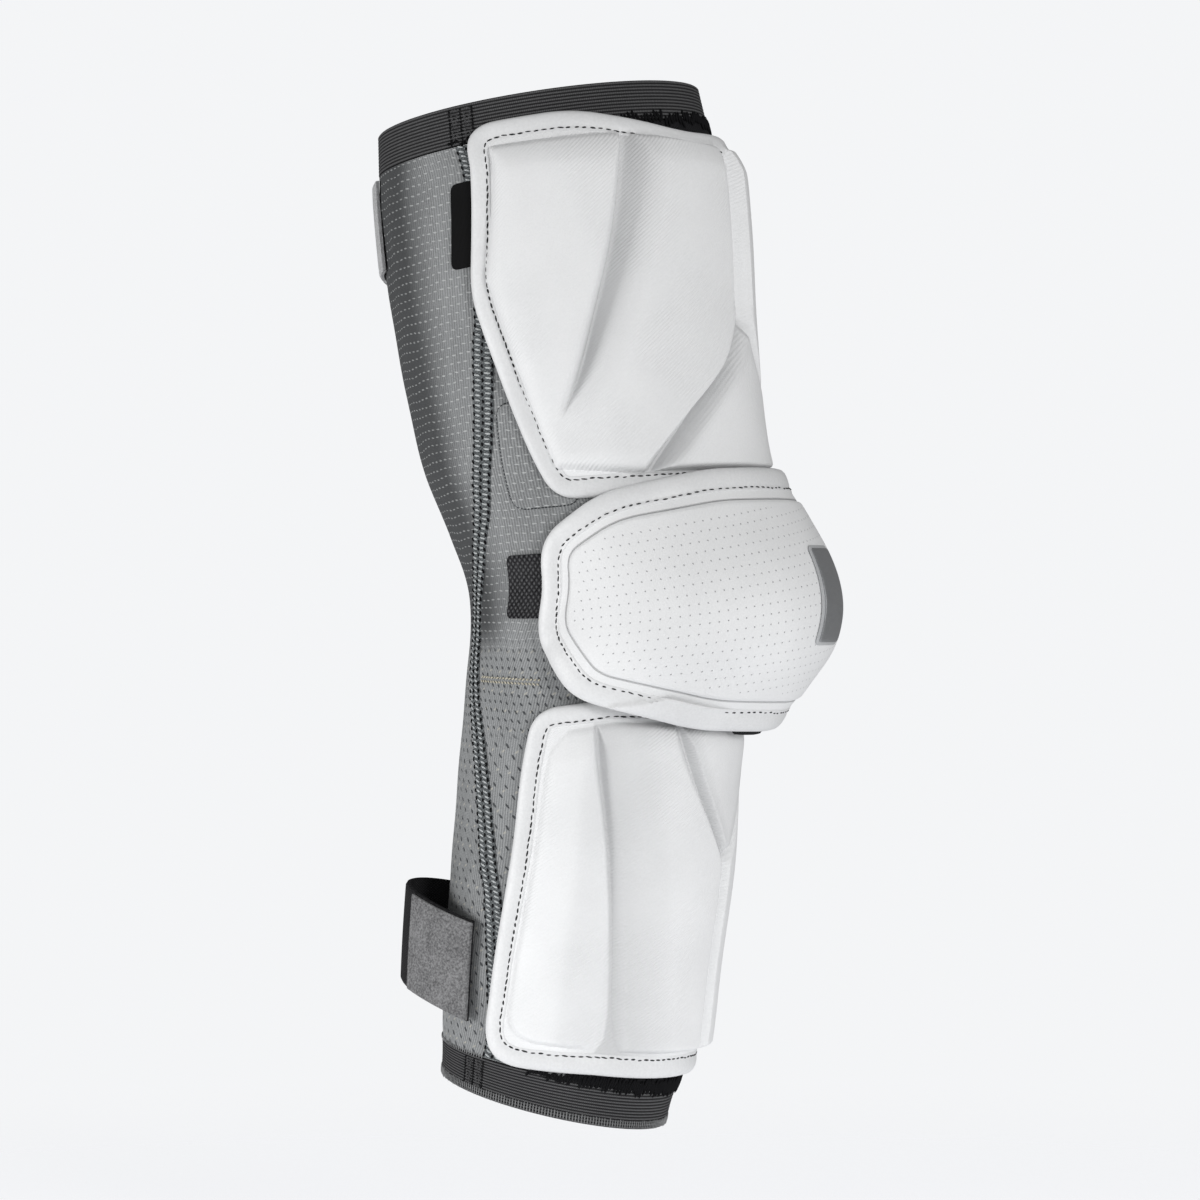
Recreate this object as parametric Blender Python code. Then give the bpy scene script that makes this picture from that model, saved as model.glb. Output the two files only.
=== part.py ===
# Lacrosse arm pad: a knitted sleeve with three moulded caps, elastic cuffs and straps.
# The front (-Y) is the elbow side, the crook of the arm faces +Y, and +Z runs up the upper arm.
# The origin is inside the sleeve at the bend of the elbow. Sizes below are in millimetres.
import math

import bmesh
import bpy

MM = 0.001

# The arm's surface: a row for each section, upwards.
# height, shift to the back, half width (X), half depth (Y), tilt in degrees (front raised)
ARM_SECTIONS = (
    (-186.0, 26.0, 37.5, 40.5, -14.0),
    (-170.0, 23.5, 38.5, 41.5, -12.5),
    (-155.0, 20.5, 40.5, 44.0, -9.0),
    (-123.0, 17.5, 41.5, 45.3, -6.0),
    (-88.0, 13.5, 42.5, 46.4, -5.0),
    (-56.0, 10.5, 43.0, 46.6, -4.0),
    (-30.0, 6.5, 44.5, 48.0, -2.0),
    (0.0, 1.0, 47.0, 52.0, 1.0),
    (25.0, 6.0, 48.5, 54.5, 4.0),
    (50.0, 14.0, 50.0, 56.5, 7.0),
    (85.0, 20.0, 52.0, 59.0, 8.5),
    (120.0, 24.0, 53.5, 61.0, 8.5),
    (148.0, 27.0, 53.5, 61.0, 8.5),
    (160.0, 29.0, 52.0, 59.5, 8.5),
    (178.0, 31.5, 50.5, 57.5, 8.5),
)

# Heights of the sleeve and the cuffs, measured on the arm's axis.
CUFF_TOP = 171.5
SLEEVE_TOP = 157.3
SLEEVE_BOTTOM = -162.3
CUFF_BOTTOM = -176.5
SEAM_GAP = 0.4
CLOTH_WALL = 1.8
CUFF_WALL = 2.1
CUFF_LEVEL = 0.2
PANEL_ANGLE = 66.0

# Cap outlines, right half, from the top centre to the bottom centre:
# distance round the arm, height, corner radius. The two marked corners end the side edge.
BICEP_OUTLINE = (
    (0.0, 152.5, 0.0),
    (20.0, 152.5, 70.0),
    (58.0, 163.0, 60.0),
    (93.5, 163.0, 13.0),
    (98.5, 106.0, 45.0),
    (76.5, 33.0, 11.0),
    (0.0, 31.0, 0.0),
)
BICEP_CORNERS = (3, 5)
ELBOW_OUTLINE = (
    (0.0, 38.5, 0.0),
    (30.0, 38.5, 90.0),
    (62.0, 34.0, 40.0),
    (84.0, 20.0, 14.0),
    (83.5, -12.0, 22.0),
    (62.0, -34.0, 25.0),
    (28.0, -42.5, 60.0),
    (0.0, -43.0, 0.0),
)
ELBOW_CORNERS = (3, 5)
FOREARM_OUTLINE = (
    (0.0, -32.0, 0.0),
    (50.0, -33.5, 60.0),
    (76.0, -38.5, 11.0),
    (79.5, -163.5, 16.0),
    (40.0, -160.0, 60.0),
    (0.0, -159.3, 0.0),
)
FOREARM_CORNERS = (2, 3)

# Levels of the caps above the arm's surface.
CAP_FLOOR = 1.0
BICEP_BASE = 3.8
BICEP_LIFT = 7.4
FOREARM_BASE = 3.4
FOREARM_LIFT = 5.8
SHELL_WALL = 3.0

# The raised field of each cap: a convex outline, right half, from the top centre down.
# distance round the arm, height, width of the wall on the edge that starts here
BICEP_FIELD = (
    (0.0, 147.0, 2.5),
    (50.0, 153.0, 2.5),
    (86.0, 154.5, 9.0),
    (92.0, 110.0, 6.0),
    (73.5, 44.0, 4.5),
    (50.0, 40.0, 4.5),
    (0.0, 38.5, 0.0),
)
FOREARM_FIELD = (
    (0.0, -41.0, 3.0),
    (50.0, -42.5, 4.0),
    (66.5, -48.0, 5.0),
    (70.5, -135.0, 5.0),
    (68.5, -148.0, 4.0),
    (60.0, -151.5, 4.0),
    (0.0, -150.5, 0.0),
)

# Grooves between the lobes, from the top down:
# height, middle of the groove, half width of its floor, outer wall, inner wall, depth (0 to 1)
BICEP_SIDE_GROOVE = (
    (160.0, 42.5, 1.6, 2.4, 7.5, 1.0),
    (119.0, 51.2, 1.3, 2.2, 7.0, 1.0),
    (95.0, 57.3, 1.0, 2.0, 5.5, 0.9),
    (73.0, 63.8, 0.8, 2.0, 3.0, 0.6),
    (62.0, 68.5, 0.8, 2.0, 2.0, 0.0),
)
BICEP_FORK = (
    (92.0, 1.0, 2.0, 4.0, 4.0, 0.9),
    (73.0, 11.5, 1.2, 2.5, 6.5, 0.9),
    (57.0, 28.0, 1.2, 2.5, 7.0, 1.0),
    (38.0, 47.0, 1.5, 2.5, 7.0, 1.0),
)
FOREARM_SIDE_GROOVE = (
    (-40.0, 56.0, 1.0, 2.0, 9.0, 0.9),
    (-66.0, 49.5, 0.9, 2.0, 9.0, 0.9),
    (-93.0, 45.0, 0.9, 2.0, 8.5, 0.9),
    (-120.0, 40.8, 1.0, 2.0, 8.5, 1.0),
    (-152.0, 37.8, 1.2, 2.2, 8.5, 1.0),
)
FOREARM_FORK = (
    (-38.0, 32.0, 1.2, 2.5, 6.0, 1.0),
    (-57.0, 18.5, 1.2, 2.5, 6.0, 0.9),
    (-78.0, 5.5, 1.2, 3.0, 4.5, 0.9),
    (-88.0, 0.5, 1.5, 3.0, 3.0, 0.9),
)
# Centre groove: half width of the floor, width of its walls, and the height where it forks.
BICEP_CENTRE_GROOVE = (5.0, 4.0, 84.0)
FOREARM_CENTRE_GROOVE = (1.6, 3.0, -84.0)
FORK_FADE = 8.0

# margin: distance from the sheet's edge to the foot of its raised field, and that wall's width
BICEP_CAP = {
    "outline": BICEP_OUTLINE,
    "corners": BICEP_CORNERS,
    "side_groove": BICEP_SIDE_GROOVE,
    "fork": BICEP_FORK,
    "centre_groove": BICEP_CENTRE_GROOVE,
    "margin": (2.0, 7.5),
}
FOREARM_CAP = {
    "outline": FOREARM_OUTLINE,
    "corners": FOREARM_CORNERS,
    "side_groove": FOREARM_SIDE_GROOVE,
    "fork": FOREARM_FORK,
    "centre_groove": FOREARM_CENTRE_GROOVE,
    "margin": (4.6, 5.0),
}

# The dome's crown line: height, level above the arm at the front.
ELBOW_CROWN = (
    (-44.0, 16.5),
    (-36.0, 20.5),
    (-29.0, 24.6),
    (-18.0, 29.4),
    (-8.0, 29.6),
    (3.0, 27.0),
    (14.0, 23.0),
    (24.0, 18.3),
    (33.0, 14.0),
    (40.0, 12.8),
)
# The dome's rim: distance round the arm, level of its outer face.
ELBOW_RIM = ((0.0, 13.0), (30.0, 12.4), (57.0, 9.4), (70.0, 7.2), (86.0, 5.4))
DOME_REACH = 76.0
DOME_POWER = 2.3

# Steps up in the elbow pad's under side:
# height where one starts, its run, its lift at the front, its lift at the sides
PAD_STEPS = (
    (26.0, 5.0, 4.8, 4.8),
    (-26.0, 6.0, 4.8, 4.8),
    (-37.0, 5.0, 5.0, 0.0),
)
PAD_SIDE = 60.0

# The rolled edge of a cap: share of its width from the outer edge, share of its height.
BINDING_WIDTH = 4.5
BINDING_RISE = 0.7
BINDING_SECTION = ((0.12, 0.0), (0.0, 0.5), (0.22, 0.92), (0.6, 1.0), (1.0, 0.82), (1.0, 0.0))

# Straps: angle round the arm from the front, inner level, height of the middle.
BICEP_STRAP = (
    (134.0, 1.0, 128.0),
    (150.0, 1.7, 129.0),
    (166.0, 1.8, 129.5),
    (190.0, 1.4, 129.5),
    (220.0, 1.0, 129.0),
    (247.0, 0.8, 128.5),
)
BICEP_STRAP_WIDTH = 32.0
FOREARM_STRAP = (
    (113.0, 0.8, -133.0),
    (120.0, 2.4, -132.0),
    (134.0, 7.4, -129.0),
    (148.0, 12.6, -125.5),
    (160.0, 13.8, -123.5),
    (172.0, 10.8, -123.0),
    (190.0, 5.6, -124.5),
    (212.0, 2.0, -128.0),
    (248.0, 0.8, -131.0),
)
FOREARM_STRAP_WIDTH = 36.0
FOREARM_PATCH_WIDTH = 33.0
PATCH_END_ANGLE = 150.0
STRAP_WALL = 1.6
PATCH_WALL = 1.0

# Webbing tabs beside the dome, the tag beside the bicep cap and the bar on the dome.
WEBBING_START = 78.0
WEBBING_END = 98.5
WEBBING_TOP = 15.5
WEBBING_BOTTOM = -7.0
WEBBING_LEVELS = (0.4, 1.9)
TAG_TOP = 144.5
TAG_BOTTOM = 115.5
TAG_WIDTH = 8.0
TAG_LEVELS = (0.4, 1.3)
TAG_GAP = 0.6
BADGE_OUTLINE = (
    (0.0, 16.5, 0.0),
    (7.5, 16.5, 3.0),
    (7.5, -17.5, 3.0),
    (0.0, -17.5, 0.0),
)
BADGE_CORNERS = (1, 2)
BADGE_WALL = 0.8

# Facets of each sheet: columns round the arm, rows along it.
SLEEVE_GRID = (20, 14)
PANEL_GRID = (8, 14)
RING_SEGMENTS = 30
ELBOW_GRID = (20, 12)
PAD_GRID = (12, 8)
PAD_INSET = 9.0
PAD_GAP = 0.9
STRAP_ROWS = 2
BICEP_STRAP_COLUMNS = 15
FOREARM_STRAP_COLUMNS = 20
PATCH_COLUMNS = 8
WEBBING_GRID = (4, 4)
TAG_GRID = (2, 4)
BADGE_GRID = (4, 6)
# The two moulded caps have columns along their grooves, so this many on each half.
CAP_COLUMNS = 16
CAP_ROWS = 15
# Rows of those caps next to their top and bottom edges, as shares of the height.
EDGE_ROWS = (0.0, 0.03, 0.068)
# Columns inside its three wide stretches: to the centre groove, between the grooves, to the rim.
STRETCH_COLUMNS = (2, 3, 2)
COLUMN_SPACING = 1.0
TIGHT_SPACING = 0.4
SEARCH_STEPS = 18
FILLET_STEPS = 8
FILLET_REACH = 0.48
SHARP_ANGLE = 35.0

CAP_WHITE = (0.82, 0.83, 0.84)
BLACK = (0.012, 0.012, 0.013)
SLEEVE_GREY = (0.155, 0.165, 0.17)
CUFF_GREY = (0.045, 0.045, 0.047)
TAPE_GREY = (0.42, 0.43, 0.44)
PATCH_GREY = (0.14, 0.14, 0.145)
WEBBING_BLACK = (0.02, 0.02, 0.021)
TAG_BLACK = (0.01, 0.01, 0.01)
PEWTER = (0.35, 0.36, 0.37)
PARTS = "lacrosse_arm_pad"


def clamp(value, low=0.0, high=1.0):
    return max(low, min(high, value))


def smooth_step(value):
    share = clamp(value)
    return share * share * (3.0 - 2.0 * share)


def even_shares(count):
    return [step / count for step in range(count + 1)]


def read_rows(rows, key, smooth):
    """Value of every column of a table at one key, between its two nearest rows."""
    ordered = sorted(rows)
    key = clamp(key, ordered[0][0], ordered[-1][0])
    last = len(ordered) - 2
    index = 0
    while index < last and key > ordered[index + 1][0]:
        index += 1
    start = ordered[index]
    end = ordered[index + 1]
    span = end[0] - start[0]
    share = (key - start[0]) / span
    values = []
    for column in range(1, len(start)):
        if smooth:
            before = ordered[max(index - 1, 0)]
            after = ordered[min(index + 2, last + 1)]
            slope_in = (end[column] - before[column]) / (end[0] - before[0])
            slope_out = (after[column] - start[column]) / (after[0] - start[0])
            values.append(hermite(share, span, start[column], end[column], slope_in, slope_out))
        else:
            values.append(start[column] + share * (end[column] - start[column]))
    return values


def hermite(share, span, start, end, slope_in, slope_out):
    square = share * share
    cube = square * share
    value = (2.0 * cube - 3.0 * square + 1.0) * start
    value += (cube - 2.0 * square + share) * span * slope_in
    value += (3.0 * square - 2.0 * cube) * end
    value += (cube - square) * span * slope_out
    return value


def arm_point(angle, height, level):
    """Point in metres at an angle (radians from the front, + to -X) and a level above the arm."""
    shift, half_width, half_depth, tilt = read_rows(ARM_SECTIONS, height, True)
    side = math.sin(angle) / half_width
    front = math.cos(angle) / half_depth
    length = math.hypot(side, front)
    across = half_width * math.sin(angle) + level * side / length
    forward = half_depth * math.cos(angle) + level * front / length
    lean = math.radians(tilt)
    x = -across
    y = shift - forward * math.cos(lean)
    z = height + forward * math.sin(lean)
    return (x * MM, y * MM, z * MM)


def angle_at(around, height):
    """Angle for a distance round the arm from its front line."""
    half_width, half_depth = read_rows(ARM_SECTIONS, height, True)[1:3]
    return around / (0.5 * (half_width + half_depth))


def plan_point(around, height, level):
    return arm_point(angle_at(around, height), height, level)


def fillet(before, corner, after, radius):
    """Points of the arc that rounds one corner of an outline."""
    to_before = (before[0] - corner[0], before[1] - corner[1])
    to_after = (after[0] - corner[0], after[1] - corner[1])
    reach_before = math.hypot(*to_before)
    reach_after = math.hypot(*to_after)
    to_before = (to_before[0] / reach_before, to_before[1] / reach_before)
    to_after = (to_after[0] / reach_after, to_after[1] / reach_after)
    opening = math.acos(clamp(to_before[0] * to_after[0] + to_before[1] * to_after[1], -1.0, 1.0))
    limit = FILLET_REACH * min(reach_before, reach_after)
    cut = min(radius / math.tan(opening / 2.0), limit)
    points = []
    for share in even_shares(FILLET_STEPS):
        start = cut * (1.0 - share) ** 2
        end = cut * share ** 2
        around = corner[0] + start * to_before[0] + end * to_after[0]
        height = corner[1] + start * to_before[1] + end * to_after[1]
        points.append((around, height))
    return points


def half_outline(corners, marked):
    """Rounded outline of the right half, and where the two marked corners fall on it."""
    points = [corners[0][:2]]
    marks = []
    for index in range(1, len(corners) - 1):
        arc = fillet(corners[index - 1], corners[index], corners[index + 1], corners[index][2])
        if index in marked:
            marks.append(len(points) + len(arc) // 2)
        points.extend(arc)
    points.append(corners[-1][:2])
    return points, marks


def inset_line(points, inset):
    """The outline moved inwards; its two ends stay on the centre line."""
    moved = []
    for index, point in enumerate(points):
        before = points[max(index - 1, 0)]
        after = points[min(index + 1, len(points) - 1)]
        run = (after[0] - before[0], after[1] - before[1])
        length = math.hypot(*run)
        around = point[0] + inset * run[1] / length
        height = point[1] - inset * run[0] / length
        on_centre = index in (0, len(points) - 1)
        moved.append((0.0 if on_centre else around, height))
    return moved


def along(guide, points, share):
    """Point of a line at a share of the length of its guide, a line with as many points."""
    lengths = [math.dist(guide[i], guide[i + 1]) for i in range(len(guide) - 1)]
    wanted = clamp(share) * sum(lengths)
    last = len(lengths) - 1
    index = 0
    while index < last and wanted > lengths[index]:
        wanted -= lengths[index]
        index += 1
    part = wanted / lengths[index]
    start = points[index]
    end = points[index + 1]
    return (start[0] + part * (end[0] - start[0]), start[1] + part * (end[1] - start[1]))


def outline_edges(corners, marked, inset):
    """Top, side and bottom edge of the right half: each as guide and as inset line."""
    guide, marks = half_outline(corners, marked)
    points = inset_line(guide, inset)
    cuts = ((0, marks[0]), (marks[0], marks[1]), (marks[1], len(guide) - 1))
    return [(guide[start:end + 1], points[start:end + 1]) for start, end in cuts]


def blend_edges(edges, share, rise):
    """Point inside the right half, blended from its top, side and bottom edges."""
    top_edge, side_edge, bottom_edge = edges
    top_end = top_edge[1][-1]
    bottom_start = bottom_edge[1][0]
    top_point = along(*top_edge, share)
    bottom_point = along(*bottom_edge, 1.0 - share)
    side_point = along(*side_edge, 1.0 - rise)
    fall = 1.0 - rise
    around = share * side_point[0] + rise * top_point[0] + fall * bottom_point[0]
    around -= share * (rise * top_end[0] + fall * bottom_start[0])
    height = share * side_point[1] + rise * top_point[1] + fall * bottom_point[1]
    height -= share * (rise * top_end[1] + fall * bottom_start[1])
    return (around, height)


def outline_plan(corners, marked, inset):
    """Function from a square (-1 to 1 both ways) to the inside of an outline."""
    edges = outline_edges(corners, marked, inset)

    def plan(across, up):
        around, height = blend_edges(edges, abs(across), 0.5 * (up + 1.0))
        return (math.copysign(around, across), height)

    return plan


def field_share(field, around, height):
    """How far up the outer walls of a raised field a point is, from 0 to 1."""
    share = 1.0
    for index in range(len(field) - 1):
        start = field[index]
        end = field[index + 1]
        run = (end[0] - start[0], end[1] - start[1])
        length = math.hypot(*run)
        inside = (run[1] * (around - start[0]) - run[0] * (height - start[1])) / length
        share = min(share, inside / start[2])
    return clamp(share)


def groove_share(rows, around, height):
    """How far up the walls of a sloping groove a point is, from 0 to 1."""
    if height > rows[0][0] or height < rows[-1][0]:
        return 1.0
    middle, floor, outer, inner, depth = read_rows(rows, height, False)
    offset = around - middle
    wall = outer if offset > 0.0 else inner
    share = smooth_step((abs(offset) - floor) / wall)
    return 1.0 - depth * (1.0 - share)


def centre_groove_share(sizes, around, height):
    floor, wall, fork = sizes
    fade = clamp(0.5 + (abs(height) - abs(fork)) / FORK_FADE)
    share = smooth_step((around - floor) / wall)
    return 1.0 - fade * (1.0 - share)


def bicep_level(around, height):
    side = abs(around)
    share = smooth_step(field_share(BICEP_FIELD, side, height))
    share = min(share, groove_share(BICEP_SIDE_GROOVE, side, height))
    share = min(share, groove_share(BICEP_FORK, side, height))
    share = min(share, centre_groove_share(BICEP_CENTRE_GROOVE, side, height))
    return BICEP_BASE + BICEP_LIFT * share


def forearm_level(around, height):
    side = abs(around)
    share = smooth_step(field_share(FOREARM_FIELD, side, height))
    share = min(share, groove_share(FOREARM_SIDE_GROOVE, side, height))
    share = min(share, groove_share(FOREARM_FORK, side, height))
    share = min(share, centre_groove_share(FOREARM_CENTRE_GROOVE, side, height))
    return FOREARM_BASE + FOREARM_LIFT * share


def elbow_level(around, height):
    side = abs(around)
    rim = read_rows(ELBOW_RIM, side, True)[0]
    crown = read_rows(ELBOW_CROWN, height, True)[0]
    arch = max(0.0, 1.0 - (side / DOME_REACH) ** DOME_POWER)
    return rim + (crown - ELBOW_RIM[0][1]) * arch


def elbow_inner_level(around, height):
    return elbow_level(around, height) - SHELL_WALL


def pad_floor(around, height):
    """Under side of the elbow pad: on the sleeve in the middle, over the two caps at its ends."""
    level = CAP_FLOOR
    side = clamp(abs(around) / PAD_SIDE)
    for start, run, front_lift, side_lift in PAD_STEPS:
        past = math.copysign(1.0, start) * (height - start)
        level += smooth_step(past / run) * (front_lift + side * (side_lift - front_lift))
    return level


def pad_level(around, height):
    return elbow_inner_level(around, height) - PAD_GAP


def flat_level(level):
    return lambda around, height: level


def add_object(name, mesh, colour, roughness, metallic=0.0):
    material = bpy.data.materials.new(name)
    material.use_nodes = True
    shader = material.node_tree.nodes["Principled BSDF"]
    shader.inputs["Base Color"].default_value = (*colour, 1.0)
    shader.inputs["Roughness"].default_value = roughness
    shader.inputs["Metallic"].default_value = metallic
    mesh.materials.append(material)
    mesh.shade_smooth()
    mesh.set_sharp_from_angle(angle=math.radians(SHARP_ANGLE))
    item = bpy.data.objects.new(name, mesh)
    bpy.data.collections[PARTS].objects.link(item)


def finish_mesh(name, bm):
    bmesh.ops.recalc_face_normals(bm, faces=bm.faces[:])
    if bm.calc_volume(signed=True) < 0.0:
        bmesh.ops.reverse_faces(bm, faces=bm.faces[:])
    mesh = bpy.data.meshes.new(name)
    bm.to_mesh(mesh)
    bm.free()
    return mesh


def bent_solid(name, grid, plan, inner, outer):
    """A flat grid given two skins and bent onto the arm, as one closed solid."""
    bm = bmesh.new()
    bmesh.ops.create_grid(bm, x_segments=grid[0], y_segments=grid[1], size=1.0)
    under = bm.verts[:]
    grown = bmesh.ops.extrude_face_region(bm, geom=bm.faces[:], use_keep_orig=True)
    over = [item for item in grown["geom"] if isinstance(item, bmesh.types.BMVert)]
    for verts, level in ((under, inner), (over, outer)):
        for vert in verts:
            around, height = plan(vert.co.x, vert.co.y)
            vert.co = plan_point(around, height, level(around, height))
    return finish_mesh(name, bm)


def bent_ring(name, segments, low, high, inner, outer):
    """An open tube given two skins and bent onto the arm, as one closed ring."""
    bm = bmesh.new()
    bmesh.ops.create_cone(bm, segments=segments, radius1=1.0, radius2=1.0, depth=2.0)
    under = bm.verts[:]
    grown = bmesh.ops.extrude_face_region(bm, geom=bm.faces[:], use_keep_orig=True)
    over = [item for item in grown["geom"] if isinstance(item, bmesh.types.BMVert)]
    for verts, level in ((under, inner), (over, outer)):
        for vert in verts:
            angle = math.atan2(-vert.co.x, -vert.co.y)
            height = high if vert.co.z > 0.0 else low
            vert.co = arm_point(angle, height, level)
    return finish_mesh(name, bm)


def strap_plan(route, width, start, end):
    """Function from a square to a band that follows a strap's route."""

    def plan(across, up):
        angle = start + 0.5 * (across + 1.0) * (end - start)
        middle = read_rows(route, angle, True)[1]
        return (angle, middle + 0.5 * up * width)

    return plan


def strap_solid(name, columns, route, width, start, end, lift, wall):
    bm = bmesh.new()
    bmesh.ops.create_grid(bm, x_segments=columns, y_segments=STRAP_ROWS, size=1.0)
    plan = strap_plan(route, width, start, end)
    under = bm.verts[:]
    grown = bmesh.ops.extrude_face_region(bm, geom=bm.faces[:], use_keep_orig=True)
    over = [item for item in grown["geom"] if isinstance(item, bmesh.types.BMVert)]
    for verts, rise in ((under, lift), (over, lift + wall)):
        for vert in verts:
            angle, height = plan(vert.co.x, vert.co.y)
            level = read_rows(route, angle, True)[0] + rise
            vert.co = arm_point(math.radians(angle), height, level)
    return finish_mesh(name, bm)


def cap_row_shares():
    """Rows of a moulded cap: close together at its top and bottom edges, even between."""
    low = EDGE_ROWS[-1]
    inner = CAP_ROWS - 2 * (len(EDGE_ROWS) - 1)
    middle = [low + (1.0 - 2.0 * low) * share for share in even_shares(inner)]
    return list(EDGE_ROWS[:-1]) + middle + [1.0 - share for share in reversed(EDGE_ROWS[:-1])]


def stretch_stops(start, end, count):
    """Evenly spaced values between two others."""
    return [start + (end - start) * share for share in even_shares(count + 1)[1:-1]]


def column_stops(cap, height, edge):
    """Distances round the arm of a moulded cap's columns, which follow its grooves."""
    middle, floor, outer, inner = read_rows(cap["side_groove"], height, False)[:4]
    side = [middle - floor - inner, middle, middle + floor + outer]
    centre_floor, centre_wall, fork_height = cap["centre_groove"]
    if (height - fork_height) * fork_height > 0.0:
        centre = [0.5 * centre_floor, centre_floor, centre_floor + centre_wall]
    else:
        middle, floor, outer, inner = read_rows(cap["fork"], height, False)[:4]
        centre = [middle - floor - inner, middle, middle + floor + outer]
    foot = edge - cap["margin"][0]
    rim = foot - cap["margin"][1]
    stops = [0.0]
    stops += stretch_stops(0.0, centre[0], STRETCH_COLUMNS[0]) + centre
    stops += stretch_stops(centre[-1], side[0], STRETCH_COLUMNS[1]) + side
    stops += stretch_stops(side[-1], rim, STRETCH_COLUMNS[2]) + [rim, foot, edge]
    for index in range(len(stops) - 2, 0, -1):
        stops[index] = min(stops[index], stops[index + 1] - COLUMN_SPACING)
    for index in range(1, len(stops)):
        stops[index] = max(stops[index], stops[index - 1] + TIGHT_SPACING)
    return stops


def column_share(cap, edges, column, rise):
    """Share across a moulded cap at which one of its columns crosses a row."""
    if column in (0, CAP_COLUMNS):
        return column / CAP_COLUMNS
    edge = blend_edges(edges, 1.0, rise)[0]
    low = 0.0
    high = 1.0
    for _ in range(SEARCH_STEPS):
        share = 0.5 * (low + high)
        around, height = blend_edges(edges, share, rise)
        if around < column_stops(cap, height, edge)[column]:
            low = share
        else:
            high = share
    return share


def cap_plan(cap, inset):
    """Function from a square to a moulded cap, with columns along its grooves."""
    edges = outline_edges(cap["outline"], cap["corners"], inset)
    rows = cap_row_shares()

    def plan(across, up):
        column = round(abs(across) * CAP_COLUMNS)
        rise = rows[round(0.5 * (up + 1.0) * CAP_ROWS)]
        around, height = blend_edges(edges, column_share(cap, edges, column, rise), rise)
        return (math.copysign(around, across), height)

    return plan


def border_shares(cap, inset):
    """Shares along the top, side and bottom edges that match a cap's grid."""
    if "side_groove" not in cap:
        columns = even_shares(cap["grid"][0] // 2)
        return columns, even_shares(cap["grid"][1]), columns
    edges = outline_edges(cap["outline"], cap["corners"], inset)
    top = [column_share(cap, edges, column, 1.0) for column in range(CAP_COLUMNS + 1)]
    bottom = [1.0 - column_share(cap, edges, column, 0.0) for column in range(CAP_COLUMNS, -1, -1)]
    return top, cap_row_shares(), bottom


def closed_outline(cap, shares, inset):
    """Points round a whole outline, moved inwards."""
    half = []
    for edge, edge_shares in zip(outline_edges(cap["outline"], cap["corners"], inset), shares):
        half.extend(along(*edge, share) for share in edge_shares[:-1])
    half.append(edge[1][-1])
    mirrored = [(-around, height) for around, height in reversed(half[1:-1])]
    return half + mirrored


def binding_solid(name, cap, floor, level):
    """The rolled edge: its section swept round the cap's outline."""
    bm = bmesh.new()
    shares = border_shares(cap, BINDING_WIDTH + SEAM_GAP)
    rings = []
    for inset_share, rise_share in BINDING_SECTION:
        ring = []
        for around, height in closed_outline(cap, shares, inset_share * BINDING_WIDTH):
            low = floor(around, height)
            high = level(around, height) + BINDING_RISE
            ring.append(bm.verts.new(plan_point(around, height, low + rise_share * (high - low))))
        rings.append(ring)
    steps = len(rings[0])
    for index, ring in enumerate(rings):
        following = rings[(index + 1) % len(rings)]
        for step in range(steps):
            after = (step + 1) % steps
            bm.faces.new((ring[step], ring[after], following[after], following[step]))
    return finish_mesh(name, bm)


def make_sleeve():
    edge = math.radians(PANEL_ANGLE)

    def plan(across, up):
        height = SLEEVE_BOTTOM + 0.5 * (up + 1.0) * (SLEEVE_TOP - SLEEVE_BOTTOM)
        reach = math.pi - edge
        half_width, half_depth = read_rows(ARM_SECTIONS, height, True)[1:3]
        mean = 0.5 * (half_width + half_depth)
        return ((math.pi + across * reach) * mean, height)

    mesh = bent_solid("sleeve", SLEEVE_GRID, plan, flat_level(-CLOTH_WALL), flat_level(0.0))
    add_object("sleeve", mesh, SLEEVE_GREY, 0.9)


def make_front_panel():
    def plan(across, up):
        height = SLEEVE_BOTTOM + 0.5 * (up + 1.0) * (SLEEVE_TOP - SLEEVE_BOTTOM)
        half_width, half_depth = read_rows(ARM_SECTIONS, height, True)[1:3]
        mean = 0.5 * (half_width + half_depth)
        return (across * (math.radians(PANEL_ANGLE) * mean - SEAM_GAP), height)

    mesh = bent_solid("front_panel", PANEL_GRID, plan, flat_level(-CLOTH_WALL), flat_level(0.0))
    add_object("front_panel", mesh, BLACK, 0.9)


def make_cuffs():
    inner = CUFF_LEVEL - CUFF_WALL
    low = SLEEVE_TOP + SEAM_GAP
    ring = bent_ring("upper_cuff", RING_SEGMENTS, low, CUFF_TOP, inner, CUFF_LEVEL)
    add_object("upper_cuff", ring, CUFF_GREY, 0.85)
    high = SLEEVE_BOTTOM - SEAM_GAP
    ring = bent_ring("lower_cuff", RING_SEGMENTS, CUFF_BOTTOM, high, inner, CUFF_LEVEL)
    add_object("lower_cuff", ring, CUFF_GREY, 0.85)


def make_moulded_cap(place, cap, level, base):
    floor = flat_level(CAP_FLOOR)
    plan = cap_plan(cap, BINDING_WIDTH + SEAM_GAP)
    sheet = bent_solid(place + "_cap", (2 * CAP_COLUMNS, CAP_ROWS), plan, floor, level)
    add_object(place + "_cap", sheet, CAP_WHITE, 0.5)
    edge = binding_solid(place + "_binding", cap, floor, flat_level(base))
    add_object(place + "_binding", edge, CAP_WHITE, 0.45)


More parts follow.
